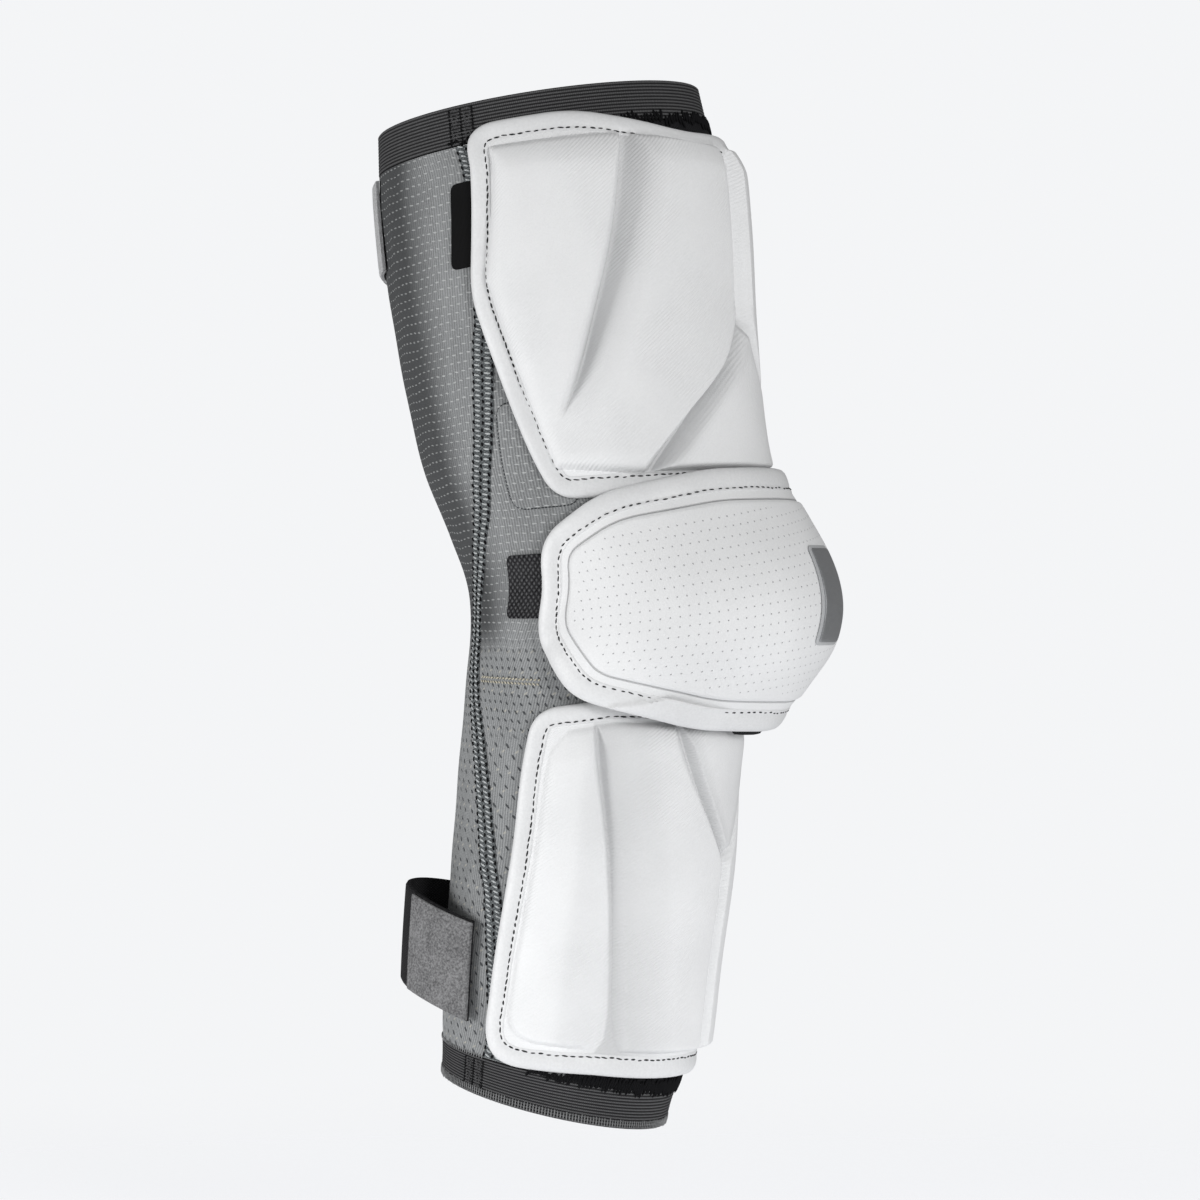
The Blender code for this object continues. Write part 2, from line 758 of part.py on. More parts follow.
def make_elbow():
    cap = {"outline": ELBOW_OUTLINE, "corners": ELBOW_CORNERS, "grid": ELBOW_GRID}
    plan = outline_plan(ELBOW_OUTLINE, ELBOW_CORNERS, BINDING_WIDTH + SEAM_GAP)
    shell = bent_solid("elbow_cap", ELBOW_GRID, plan, elbow_inner_level, elbow_level)
    add_object("elbow_cap", shell, CAP_WHITE, 0.5)
    edge = binding_solid("elbow_binding", cap, elbow_inner_level, elbow_level)
    add_object("elbow_binding", edge, CAP_WHITE, 0.45)
    plan = outline_plan(ELBOW_OUTLINE, ELBOW_CORNERS, PAD_INSET)
    pad = bent_solid("elbow_pad", PAD_GRID, plan, pad_floor, pad_level)
    add_object("elbow_pad", pad, BLACK, 0.9)


def make_straps():
    route = BICEP_STRAP
    ends = (route[0][0], route[-1][0])
    columns = BICEP_STRAP_COLUMNS
    band = strap_solid("bicep_strap", columns, route, BICEP_STRAP_WIDTH, *ends, 0.0, STRAP_WALL)
    add_object("bicep_strap", band, TAPE_GREY, 0.9)
    route = FOREARM_STRAP
    ends = (route[0][0], route[-1][0])
    columns = FOREARM_STRAP_COLUMNS
    band = strap_solid("forearm_strap", columns, route, FOREARM_STRAP_WIDTH, *ends, 0.0, STRAP_WALL)
    add_object("forearm_strap", band, WEBBING_BLACK, 0.8)
    ends = (route[0][0], PATCH_END_ANGLE)
    lift = STRAP_WALL + SEAM_GAP
    columns = PATCH_COLUMNS
    band = strap_solid("forearm_patch", columns, route, FOREARM_PATCH_WIDTH, *ends, lift, PATCH_WALL)
    add_object("forearm_patch", band, PATCH_GREY, 0.95)


def make_webbing():
    for name, side in (("elbow_webbing_near", 1.0), ("elbow_webbing_far", -1.0)):
        def plan(across, up, side=side):
            around = WEBBING_START + 0.5 * (across + 1.0) * (WEBBING_END - WEBBING_START)
            return (side * around, WEBBING_BOTTOM + 0.5 * (up + 1.0) * (WEBBING_TOP - WEBBING_BOTTOM))

        inner, outer = WEBBING_LEVELS
        mesh = bent_solid(name, WEBBING_GRID, plan, flat_level(inner), flat_level(outer))
        add_object(name, mesh, WEBBING_BLACK, 0.75)


def make_tag():
    side_edge = outline_edges(BICEP_OUTLINE, BICEP_CORNERS, -TAG_GAP)[1][1]
    side = [(height, around) for around, height in side_edge]

    def plan(across, up):
        height = TAG_BOTTOM + 0.5 * (up + 1.0) * (TAG_TOP - TAG_BOTTOM)
        start = read_rows(side, height, False)[0]
        return (start + 0.5 * (across + 1.0) * TAG_WIDTH, height)

    inner, outer = TAG_LEVELS
    mesh = bent_solid("side_tag", TAG_GRID, plan, flat_level(inner), flat_level(outer))
    add_object("side_tag", mesh, TAG_BLACK, 0.6)


def make_badge():
    def inner(around, height):
        return elbow_level(around, height) + SEAM_GAP

    def outer(around, height):
        return inner(around, height) + BADGE_WALL

    plan = outline_plan(BADGE_OUTLINE, BADGE_CORNERS, 0.0)
    mesh = bent_solid("elbow_badge", BADGE_GRID, plan, inner, outer)
    add_object("elbow_badge", mesh, PEWTER, 0.35, 0.8)


def main():
    for item in list(bpy.data.objects):
        bpy.data.objects.remove(item, do_unlink=True)
    parts = bpy.data.collections.new(PARTS)
    bpy.context.scene.collection.children.link(parts)
    make_sleeve()
    make_front_panel()
    make_cuffs()
    make_moulded_cap("bicep", BICEP_CAP, bicep_level, BICEP_BASE)
    make_moulded_cap("forearm", FOREARM_CAP, forearm_level, FOREARM_BASE)
    make_elbow()
    make_webbing()
    make_straps()
    make_tag()
    make_badge()


main()
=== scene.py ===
# Lacrosse arm pad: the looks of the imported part, for Blender 4.5.
# Lengths in the tables are millimetres. "Around" is the distance round the arm from its
# front line, and "height" runs up the upper arm.
import math

import bmesh
import bpy
import numpy as np
from mathutils import Matrix, Vector


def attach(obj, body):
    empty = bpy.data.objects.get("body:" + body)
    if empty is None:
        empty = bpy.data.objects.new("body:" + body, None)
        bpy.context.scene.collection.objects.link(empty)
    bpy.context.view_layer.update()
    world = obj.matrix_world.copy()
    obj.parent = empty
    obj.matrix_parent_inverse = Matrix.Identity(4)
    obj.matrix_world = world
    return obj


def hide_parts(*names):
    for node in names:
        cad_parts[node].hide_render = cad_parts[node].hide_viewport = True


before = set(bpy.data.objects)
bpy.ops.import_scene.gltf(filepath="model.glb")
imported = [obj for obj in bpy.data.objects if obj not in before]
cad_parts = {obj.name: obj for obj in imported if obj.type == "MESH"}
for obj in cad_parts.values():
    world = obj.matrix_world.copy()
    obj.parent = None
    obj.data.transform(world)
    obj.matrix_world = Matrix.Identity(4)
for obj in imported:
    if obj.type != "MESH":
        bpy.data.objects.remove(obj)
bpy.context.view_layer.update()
millimetre = 0.001
print("frame loaded")

# The arm under the sleeve: height, shift to the back, half width, half depth, tilt in degrees.
arm = {
    "sections": (
        (-186.0, 26.0, 37.5, 40.5, -14.0), (-170.0, 23.5, 38.5, 41.5, -12.5),
        (-155.0, 20.5, 40.5, 44.0, -9.0), (-123.0, 17.5, 41.5, 45.3, -6.0),
        (-88.0, 13.5, 42.5, 46.4, -5.0), (-56.0, 10.5, 43.0, 46.6, -4.0),
        (-30.0, 6.5, 44.5, 48.0, -2.0), (0.0, 1.0, 47.0, 52.0, 1.0),
        (25.0, 6.0, 48.5, 54.5, 4.0), (50.0, 14.0, 50.0, 56.5, 7.0),
        (85.0, 20.0, 52.0, 59.0, 8.5), (120.0, 24.0, 53.5, 61.0, 8.5),
        (148.0, 27.0, 53.5, 61.0, 8.5), (160.0, 29.0, 52.0, 59.5, 8.5),
        (178.0, 31.5, 50.5, 57.5, 8.5),
    ),
}


def clamp(value, low=0.0, high=1.0):
    return np.minimum(np.maximum(value, low), high)


def smoothStep(value):
    share = clamp(value)
    return share * share * (3.0 - 2.0 * share)


def softWall(value):  # steep at its foot and level at its head
    return 1.0 - (1.0 - clamp(value)) ** 2


def softMin(first, second, blend):  # the lower of two, with the crease between them rounded
    share = clamp(0.5 + 0.5 * (second - first) / blend)
    return second + (first - second) * share - blend * share * (1.0 - share)


def roundDrop(share):  # how far a rounded edge falls, by its share of the way in from the rim
    return 1.0 - np.sqrt(1.0 - (1.0 - clamp(share)) ** 2)


def fromRim(x, y):
    return 1.0 - np.maximum(np.abs(x), np.abs(y))


def between(value, low, high):  # from -1 and 1 to low and high
    return low + 0.5 * (value + 1.0) * (high - low)


def closerEdges(value):  # a grid's steps get closer towards both of its edges
    return 1.25 * value - 0.25 * value ** 3


def readRows(rows, key):  # the other columns of a table, read on a smooth curve between its rows
    table = np.array(sorted(rows), float)
    key = clamp(np.asarray(key, float), table[0, 0], table[-1, 0])
    at = np.clip(np.searchsorted(table[:, 0], key) - 1, 0, len(table) - 2)
    start, end = table[at], table[at + 1]
    span = end[..., :1] - start[..., :1]
    share = (key[..., None] - start[..., :1]) / span
    before = table[np.maximum(at - 1, 0)]
    after = table[np.minimum(at + 2, len(table) - 1)]
    slopeIn = (end - before) / (end[..., :1] - before[..., :1])
    slopeOut = (after - start) / (after[..., :1] - start[..., :1])
    square, cube = share ** 2, share ** 3
    value = (2.0 * cube - 3.0 * square + 1.0) * start
    value = value + (cube - 2.0 * square + share) * span * slopeIn
    value = value + (3.0 * square - 2.0 * cube) * end
    value = value + (cube - square) * span * slopeOut
    return np.moveaxis(value[..., 1:], -1, 0)


def armPoint(angle, height, level):
    shift, halfWidth, halfDepth, tilt = readRows(arm["sections"], height)
    side = np.sin(angle) / halfWidth
    front = np.cos(angle) / halfDepth
    length = np.hypot(side, front)
    across = halfWidth * np.sin(angle) + level * side / length
    forward = halfDepth * np.cos(angle) + level * front / length
    lean = np.radians(tilt)
    point = (-across, shift - forward * np.cos(lean), height + forward * np.sin(lean))
    return np.stack(np.broadcast_arrays(*point), -1) * millimetre


def meanRadius(height):
    halfWidth, halfDepth = readRows(arm["sections"], height)[1:3]
    return 0.5 * (halfWidth + halfDepth)


def planPoint(around, height, level):
    return armPoint(around / meanRadius(height), height, level)


# Shader groups that several finishes share: each reads a place and puts out one value.

def newGroup(name, output, **numbers):
    tree = bpy.data.node_groups.new(name, "ShaderNodeTree")
    socket = tree.interface.new_socket
    socket(name="place", in_out="INPUT", socket_type="NodeSocketVector")
    for label, value in numbers.items():
        socket(name=label, in_out="INPUT", socket_type="NodeSocketFloat").default_value = value
    socket(name=output, in_out="OUTPUT", socket_type="NodeSocketFloat")
    return tree, tree.nodes.new("NodeGroupInput").outputs, tree.nodes.new("NodeGroupOutput").inputs[0]


def feed(tree, socket, value):
    if isinstance(value, bpy.types.NodeSocket):
        tree.links.new(value, socket)
    else:
        socket.default_value = value


def mathNode(tree, operation, *values, limit=False):
    node = tree.nodes.new("ShaderNodeMath")
    node.operation = operation
    node.use_clamp = limit
    for socket, value in zip(node.inputs, values):
        feed(tree, socket, value)
    return node.outputs[0]


def times(tree, first, second):
    return mathNode(tree, "MULTIPLY", first, second)


def timesPlus(tree, value, factor, more, limit=False):
    return mathNode(tree, "MULTIPLY_ADD", value, factor, more, limit=limit)


def flip(tree, value):
    return mathNode(tree, "SUBTRACT", 1.0, value)


def ramp(tree, value, low, high, outLow=0.0, outHigh=1.0):
    node = tree.nodes.new("ShaderNodeMapRange")
    node.interpolation_type = "SMOOTHSTEP"
    labels = ("Value", "From Min", "From Max", "To Min", "To Max")
    for label, given in zip(labels, (value, low, high, outLow, outHigh)):
        feed(tree, node.inputs[label], given)
    return node.outputs[0]


def splitPlace(tree, place):
    node = tree.nodes.new("ShaderNodeSeparateXYZ")
    tree.links.new(place, node.inputs[0])
    return node.outputs[0], node.outputs[1]


def mapPlace(tree, place, label, values):
    node = tree.nodes.new("ShaderNodeMapping")
    tree.links.new(place, node.inputs["Vector"])
    node.inputs[label].default_value = values
    return node.outputs[0]


def noiseNode(tree, place, scale, detail=2.0, roughness=0.5):
    node = tree.nodes.new("ShaderNodeTexNoise")
    tree.links.new(place, node.inputs["Vector"])
    feed(tree, node.inputs["Scale"], scale)
    node.inputs["Detail"].default_value = detail
    node.inputs["Roughness"].default_value = roughness
    return node.outputs[0]


def makeDashGrid():  # rows of small dashes or dots on the unrolled surface, in millimetres
    tree, given, mask = newGroup(
        "dashGrid", "mask", stepAcross=3.0, stepUp=3.0, rowShift=0.0, length=1.2, width=0.4, tilt=0.0
    )
    across, up = splitPlace(tree, given["place"])
    row = mathNode(tree, "DIVIDE", up, given["stepUp"])
    column = mathNode(tree, "DIVIDE", across, given["stepAcross"])
    column = timesPlus(tree, mathNode(tree, "FLOOR", row), given["rowShift"], column)
    x, y = [
        times(tree, mathNode(tree, "SUBTRACT", mathNode(tree, "FRACT", value), 0.5), step)
        for value, step in ((column, given["stepAcross"]), (row, given["stepUp"]))
    ]
    sine, cosine = mathNode(tree, "SINE", given["tilt"]), mathNode(tree, "COSINE", given["tilt"])
    turnedX = timesPlus(tree, x, cosine, times(tree, y, sine))
    turnedY = mathNode(tree, "SUBTRACT", times(tree, y, cosine), times(tree, x, sine))
    squares = []
    for run, reach in ((turnedX, given["length"]), (turnedY, given["width"])):
        share = mathNode(tree, "DIVIDE", times(tree, run, 2.0), reach)
        squares.append(times(tree, share, share))
    size = mathNode(tree, "SQRT", mathNode(tree, "ADD", *squares))
    tree.links.new(ramp(tree, size, 0.6, 1.15, 1.0, 0.0), mask)
    return tree


def makeThreadWaves():  # fine parallel threads at any slant on the unrolled surface
    tree, given, height = newGroup("threadWaves", "height", pitch=1.0, slant=0.0, sway=0.0)
    across, up = splitPlace(tree, given["place"])
    sway = times(tree, noiseNode(tree, given["place"], 0.12), given["sway"])
    run = times(tree, across, mathNode(tree, "SINE", given["slant"]))
    run = timesPlus(tree, up, mathNode(tree, "COSINE", given["slant"]), run)
    turn = mathNode(tree, "DIVIDE", mathNode(tree, "ADD", run, sway), given["pitch"])
    wave = mathNode(tree, "SINE", times(tree, turn, math.tau))
    tree.links.new(timesPlus(tree, wave, 0.5, 0.5), height)
    return tree


def makeMottle():  # slow and fine changes of tone, so that no surface is one flat colour
    tree, given, tone = newGroup("mottle", "tone", slowScale=25.0, fineScale=900.0, fineShare=0.4)
    slow = noiseNode(tree, given["place"], given["slowScale"], 3.0)
    fine = noiseNode(tree, given["place"], given["fineScale"])
    rest = times(tree, slow, flip(tree, given["fineShare"]))
    tree.links.new(timesPlus(tree, fine, given["fineShare"], rest), tone)
    return tree


groups = {"dashGrid": makeDashGrid(), "threadWaves": makeThreadWaves(), "mottle": makeMottle()}
print("shader groups made")


def placeGroup(tree, name, place, **settings):
    node = tree.nodes.new("ShaderNodeGroup")
    node.node_tree = groups[name]
    for label, value in {"place": place, **settings}.items():
        feed(tree, node.inputs[label], value)
    return node.outputs[0]


def newMaterial(name, roughness=0.5, specular=0.5):
    material = bpy.data.materials.new(name)
    material.use_nodes = True
    tree = material.node_tree
    shader = tree.nodes["Principled BSDF"]
    shader.inputs["Roughness"].default_value = roughness
    shader.inputs["Specular IOR Level"].default_value = specular
    unrolled = tree.nodes.new("ShaderNodeUVMap")
    unrolled.uv_map = "unrolled"
    solid = tree.nodes.new("ShaderNodeTexCoord")
    return material, tree, shader, unrolled.outputs[0], solid.outputs["Object"]


def blendColour(tree, share, first, second):
    node = tree.nodes.new("ShaderNodeMix")
    node.data_type = "RGBA"
    feed(tree, node.inputs["Factor"], share)
    for label, colour in (("A", first), ("B", second)):
        socket = [item for item in node.inputs if item.name == label and item.type == "RGBA"][0]
        feed(tree, socket, (*colour, 1.0) if isinstance(colour, tuple) else colour)
    return [item for item in node.outputs if item.type == "RGBA"][0]


def paint(tree, shader, share, first, second):
    tree.links.new(blendColour(tree, share, first, second), shader.inputs["Base Color"])


def addBump(tree, shader, height, depth):  # depth in millimetres; bumps stack up
    node = tree.nodes.new("ShaderNodeBump")
    node.inputs["Strength"].default_value = 1.0
    node.inputs["Distance"].default_value = depth * millimetre
    tree.links.new(height, node.inputs["Height"])
    if shader.inputs["Normal"].links:
        tree.links.new(shader.inputs["Normal"].links[0].from_socket, node.inputs["Normal"])
    tree.links.new(node.outputs[0], shader.inputs["Normal"])


def readAttribute(tree, name):
    node = tree.nodes.new("ShaderNodeAttribute")
    node.attribute_name = name
    return node.outputs["Fac"]


# Mesh helpers.

def addObject(name, data):
    item = bpy.data.objects.new(name, data)
    bpy.context.scene.collection.objects.link(item)
    return item


def finishPiece(name, bm, material, replaces=(), slot=None, attributes=None, crease=40.0):
    bmesh.ops.recalc_face_normals(bm, faces=bm.faces[:])
    if bm.calc_volume(signed=True) < 0.0:
        bmesh.ops.reverse_faces(bm, faces=bm.faces[:])
    mesh = bpy.data.meshes.new(name)
    bm.to_mesh(mesh)
    bm.free()
    for label, values in (attributes or {}).items():
        layer = mesh.attributes.new(label, "FLOAT", "POINT")
        layer.data.foreach_set("value", np.asarray(values, np.float32))
    mesh.materials.append(material)
    mesh.shade_smooth()
    mesh.set_sharp_from_angle(angle=math.radians(crease))
    piece = addObject(name, mesh)
    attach(piece, "root")
    if replaces:
        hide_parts(*replaces)
    print(f"{name}: {len(mesh.polygons)} faces")
    return piece


def moveTo(verts, points):
    for vert, point in zip(verts, points):
        vert.co = point


def bentSheet(name, grid, place, material, attribute=None, spread=None, **facts):
    # A flat grid is given two skins and bent on to the arm. place(x, y, side) gives the
    # distance round, the height and the level of the under side (0) or the outer side (1).
    bm = bmesh.new()
    layer = bm.loops.layers.uv.new("unrolled")
    bmesh.ops.create_grid(bm, x_segments=grid[0], y_segments=grid[1], size=1.0)
    under = bm.verts[:]
    grown = bmesh.ops.extrude_face_region(bm, geom=bm.faces[:], use_keep_orig=True)
    over = [item for item in grown["geom"] if isinstance(item, bmesh.types.BMVert)]
    bm.verts.index_update()
    flat = np.zeros((len(bm.verts), 2))
    values = np.zeros(len(bm.verts))
    for side, verts in enumerate((under, over)):
        square = np.array([vert.co for vert in verts])
        around, height, level = place(square[:, 0], square[:, 1], side)
        index = [vert.index for vert in verts]
        flat[index] = np.stack(spread(around, height) if spread else (around, height), 1)
        if attribute:
            values[index] = attribute[1](around, height)
        moveTo(verts, planPoint(around, height, level))
    for face in bm.faces:
        for loop in face.loops:
            loop[layer].uv = flat[loop.vert.index]
    attributes = {attribute[0]: values} if attribute else None
    return finishPiece(name, bm, material, attributes=attributes, **facts)


def closedTube(name, steps, around, pointAt, material, **facts):
    # A grid rolled up both ways into a ring: pointAt(run, turn) gives points and unrolled places.
    bm = bmesh.new()
    layer = bm.loops.layers.uv.new("unrolled")
    bmesh.ops.create_grid(bm, x_segments=steps, y_segments=around, size=0.5)
    verts = bm.verts[:]
    bm.verts.index_update()
    grid = np.array([vert.co for vert in verts]) + 0.5
    points, flat = pointAt(grid[:, 0], grid[:, 1])
    moveTo(verts, points)
    for face in bm.faces:
        for loop in face.loops:
            loop[layer].uv = flat[loop.vert.index]
    bmesh.ops.remove_doubles(bm, verts=bm.verts[:], dist=1e-6)
    return finishPiece(name, bm, material, **facts)


def scatter(seed, count):  # the same scatter of values from 0 to 1 each time
    value = np.sin(np.arange(count) * 12.9898 + seed * 78.233) * 43758.5453
    return value - np.floor(value)


def layThreads(name, threads, material, sides=6, **facts):
    # Every thread is a small stretched bead: middle, direction, outward, length and thickness.
    whole = bmesh.new()
    for start in range(0, len(threads), 50):  # in lots, because an operator slows as its mesh grows
        lot = bmesh.new()
        for middle, direction, outward, length, thickness in threads[start:start + 50]:
            along = Vector(direction).normalized()
            up = Vector(outward)
            up = (up - along * up.dot(along)).normalized()
            turn = Matrix((along.cross(up), up, along)).transposed().to_4x4()
            half = 0.5 * thickness * millimetre
            size = Matrix.Diagonal((half, half, 0.5 * length * millimetre, 1.0))
            place = Matrix.Translation(Vector(middle)) @ turn @ size
            bmesh.ops.create_uvsphere(lot, u_segments=sides, v_segments=4, radius=1.0, matrix=place)
        part = bpy.data.meshes.new("lot")
        lot.to_mesh(part)
        lot.free()
        whole.from_mesh(part)
        bpy.data.meshes.remove(part)
    return finishPiece(name, whole, material, **facts)


# Outlines of the caps on the unrolled surface.

def filletPoints(before, corner, after, radius, steps=14):
    before, corner, after = (np.array(point[:2], float) for point in (before, corner, after))
    toBefore, toAfter = before - corner, after - corner
    reachBefore, reachAfter = np.linalg.norm(toBefore), np.linalg.norm(toAfter)
    toBefore, toAfter = toBefore / reachBefore, toAfter / reachAfter
    opening = math.acos(max(-1.0, min(1.0, float(toBefore @ toAfter))))
    cut = min(radius / math.tan(opening / 2.0), 0.48 * reachBefore, 0.48 * reachAfter)
    share = np.linspace(0.0, 1.0, steps + 1)[:, None]
    return corner + cut * ((1.0 - share) ** 2 * toBefore + share ** 2 * toAfter)


def halfOutline(cap):
    corners = cap["outline"]
    points = [np.array(corners[0][:2])]
    marks = []
    for index in range(1, len(corners) - 1):
        arc = filletPoints(corners[index - 1], corners[index], corners[index + 1], corners[index][2])
        if index in cap["corners"]:
            marks.append(len(points) + len(arc) // 2)
        points.extend(arc)
    points.append(np.array(corners[-1][:2]))
    return np.array(points), marks


def insetHalf(points, inset):
    run = np.gradient(points, axis=0)
    run /= np.linalg.norm(run, axis=1)[:, None]
    moved = points + inset * np.stack((run[:, 1], -run[:, 0]), 1)
    moved[[0, -1], 0] = 0.0
    return moved


def runLengths(points):
    return np.concatenate(([0.0], np.cumsum(np.linalg.norm(np.diff(points, axis=0), axis=1))))


def edgeRun(points):
    lengths = runLengths(points)
    return lengths / lengths[-1]


def outlinePlace(cap, inset):  # from a square to the inside of a cap's outline
    guide, marks = halfOutline(cap)
    points = insetHalf(guide, inset)
    cuts = ((0, marks[0]), (marks[0], marks[1]), (marks[1], len(guide) - 1))
    top, side, bottom = [(edgeRun(guide[a:b + 1]), points[a:b + 1]) for a, b in cuts]

    def along(edge, share):
        return np.stack([np.interp(share, edge[0], edge[1][:, column]) for column in (0, 1)], 1)

    def place(x, y):
        share, rise = np.abs(x)[:, None], 0.5 * (y + 1.0)[:, None]
        flat = share * along(side, 1.0 - rise[:, 0])
        flat = flat + rise * along(top, share[:, 0]) + (1.0 - rise) * along(bottom, 1.0 - share[:, 0])
        flat = flat - share * (rise * top[1][-1] + (1.0 - rise) * bottom[1][0])
        return np.copysign(flat[:, 0], x), flat[:, 1]

    return place


def alongGrooves(cap, place):  # the grid's columns run along the grooves, closer on their walls
    dense = np.linspace(0.0, 1.0, 201)
    leastGap = 0.004

    def follow(x, y):
        y = closerEdges(y)
        levels, row = np.unique(np.round(y, 6), return_inverse=True)
        moved = np.empty_like(x)
        for index, level in enumerate(levels):
            around, height = place(dense, np.full(len(dense), level))
            marks = [0.0]
            for rows in cap["grooves"][::-1]:
                middle, floor, outer, inner, _ = readRows(rows, height)
                for offset in (-floor - inner, -floor, floor, floor + outer):
                    marks.append(max(marks[-1] + leastGap, np.interp(0.0, around - middle - offset, dense)))
            marks = np.array(marks + [1.0])
            marks = np.minimum(marks, 1.0 - leastGap * np.arange(len(marks))[::-1])
            chosen = row == index
            moved[chosen] = np.copysign(np.interp(np.abs(x[chosen]), cap["columns"], marks), x[chosen])
        return place(moved, y)

    return follow


def wholeOutline(cap, step):  # even points round the whole outline, from the top centre
    half, _ = halfOutline(cap)
    lengths = runLengths(half)
    count = int(round(lengths[-1] / step))
    even = np.linspace(0.0, lengths[-1], count + 1)
    right = np.stack([np.interp(even, lengths, half[:, column]) for column in (0, 1)], 1)
    left = right[-2:0:-1] * (-1.0, 1.0)
    return np.concatenate((right, left)), 2.0 * lengths[-1]


def insetWhole(points, inset):
    run = np.roll(points, -1, 0) - np.roll(points, 1, 0)
    run /= np.linalg.norm(run, axis=1)[:, None]
    return points + inset * np.stack((run[:, 1], -run[:, 0]), 1)


def edgeDistance(cap, around, height):
    points, _ = wholeOutline(cap, 1.0)
    found = np.empty(len(around))
    for start in range(0, len(around), 4000):
        part = slice(start, start + 4000)
        apart = np.hypot(around[part, None] - points[None, :, 0], height[part, None] - points[None, :, 1])
        found[part] = apart.min(1)
    return found


# Relief of the moulded caps.
shellInset = 4.9  # the shells end under their rolled edges
creaseBlend = 0.06


def withinRows(rows, height, fade, start=0.0):  # 1 between a table's ends, fading towards both
    low, high = min(row[0] for row in rows), max(row[0] for row in rows)
    return smoothStep((height - low) / fade + start) * smoothStep((high - height) / fade + start)


def fieldShare(field, around, height, kerb=2.2, blend=0.14):
    # Each edge of the raised field rises by a kerb and then by a longer slope.
    share = None
    for start, end in zip(field[:-1], field[1:]):
        runAround, runHeight = end[0] - start[0], end[1] - start[1]
        length = math.hypot(runAround, runHeight)
        inside = (runHeight * (around - start[0]) - runAround * (height - start[1])) / length
        rise = start[3] * softWall(inside / kerb) + (1.0 - start[3]) * softWall(inside / start[2])
        share = rise if share is None else softMin(share, rise, blend)
    return clamp(share)


def grooveShare(rows, around, height):
    middle, floor, outer, inner, depth = readRows(rows, height)
    offset = around - middle
    wall = np.where(offset > 0.0, outer, inner)
    share = softWall((np.abs(offset) - floor) / wall)
    return 1.0 - withinRows(rows, height, 3.0, 1.0) * depth * (1.0 - share)


def centreShare(sizes, around, height):
    floor, wall, fork = sizes
    fade = clamp(0.5 + (np.abs(height) - abs(fork)) / 8.0)
    return 1.0 - fade * (1.0 - softWall((around - floor) / wall))


def paintedShadeMask(cap, around, height):  # painted shade: 1 in the bottom of a groove, fading over the lobe in front of it
    side = np.abs(around)
    shade = np.zeros(len(side))
    for rows, reach in zip(cap["grooves"], cap["paintedShadeReach"]):
        middle, floor, _, _, depth = readRows(rows, height)
        offset = side - middle
        behind = 1.0 - clamp((offset - floor) / 0.8)
        before = 1.0 - clamp((-offset - floor) / reach)
        fall = np.where(offset > floor, behind, before)
        shade = np.maximum(shade, withinRows(rows, height, 6.0, 0.4) * depth * fall)
    return shade


def creaseFall(lines, groove, around, height):
    # Flat faces that fall away from a soft line, some only as far as the groove beside them.
    fall = 0.0
    valley, depth = readRows(groove, height)[[0, -1]]
    for line in lines:
        middle = readRows(line["line"], height)[0]
        past = (around - middle) * line["side"]
        inside = withinRows(line["line"], height, line["fade"])
        if line["stops"]:
            inside = inside * (1.0 - depth * ((around - valley) * line["side"] > 0.0))
        fall = fall + inside * line["slope"] * np.logaddexp(0.0, past / 0.8) * 0.8
    return fall


bicep = {
    "outline": (
        (0.0, 152.5, 0.0), (20.0, 152.5, 70.0), (58.0, 163.0, 60.0), (93.5, 163.0, 13.0),
        (98.5, 106.0, 45.0), (76.5, 33.0, 11.0), (0.0, 31.0, 0.0),
    ),
    "corners": (3, 5),
    "grid": (260, 160),
    "columns": (0.0, 0.10, 0.20, 0.22, 0.27, 0.50, 0.61, 0.64, 0.71, 1.0),
    "floor": 1.0,
    "base": 3.6,
    "lift": 7.4,
    # around, height, length of the slope and share of the kerb on the edge that starts there
    "field": (
        (0.0, 147.5, 16.0, 0.35), (50.0, 153.5, 15.0, 0.35), (86.0, 154.5, 9.0, 0.45),
        (92.0, 110.0, 8.0, 0.45), (73.5, 43.0, 8.0, 0.45), (50.0, 39.0, 3.0, 0.6),
        (0.0, 38.0, 0.0, 0.0),
    ),
    "grooves": (
        (
            (160.0, 43.0, 1.0, 4.0, 15.0, 1.0), (119.0, 51.0, 0.7, 3.8, 14.0, 1.0),
            (95.0, 57.0, 0.5, 3.4, 12.0, 1.0), (73.0, 63.5, 0.4, 3.0, 8.5, 0.8),
            (58.0, 69.5, 0.4, 2.8, 5.0, 0.0),
        ),
        (
            (92.0, 1.0, 2.0, 4.0, 4.0, 0.9), (73.0, 11.5, 0.6, 3.8, 8.5, 0.95),
            (57.0, 28.0, 0.6, 3.8, 9.5, 1.0), (38.0, 47.0, 0.8, 3.8, 9.5, 1.0),
        ),
    ),
    "centre": (5.0, 4.0, 84.0),
    "paintedShadeReach": (13.0, 10.0),
    "creases": (
        {
            "line": ((36.0, 55.5), (55.0, 55.0), (88.0, 52.0), (112.0, 48.0)),
            "side": 1.0, "slope": 0.17, "fade": 20.0, "stops": True,
        },
        {
            "line": ((58.0, 74.5), (110.0, 79.5), (158.0, 76.0)),
            "side": 1.0, "slope": 0.15, "fade": 10.0, "stops": False,
        },
    ),
    "stitchInset": 6.0,
}
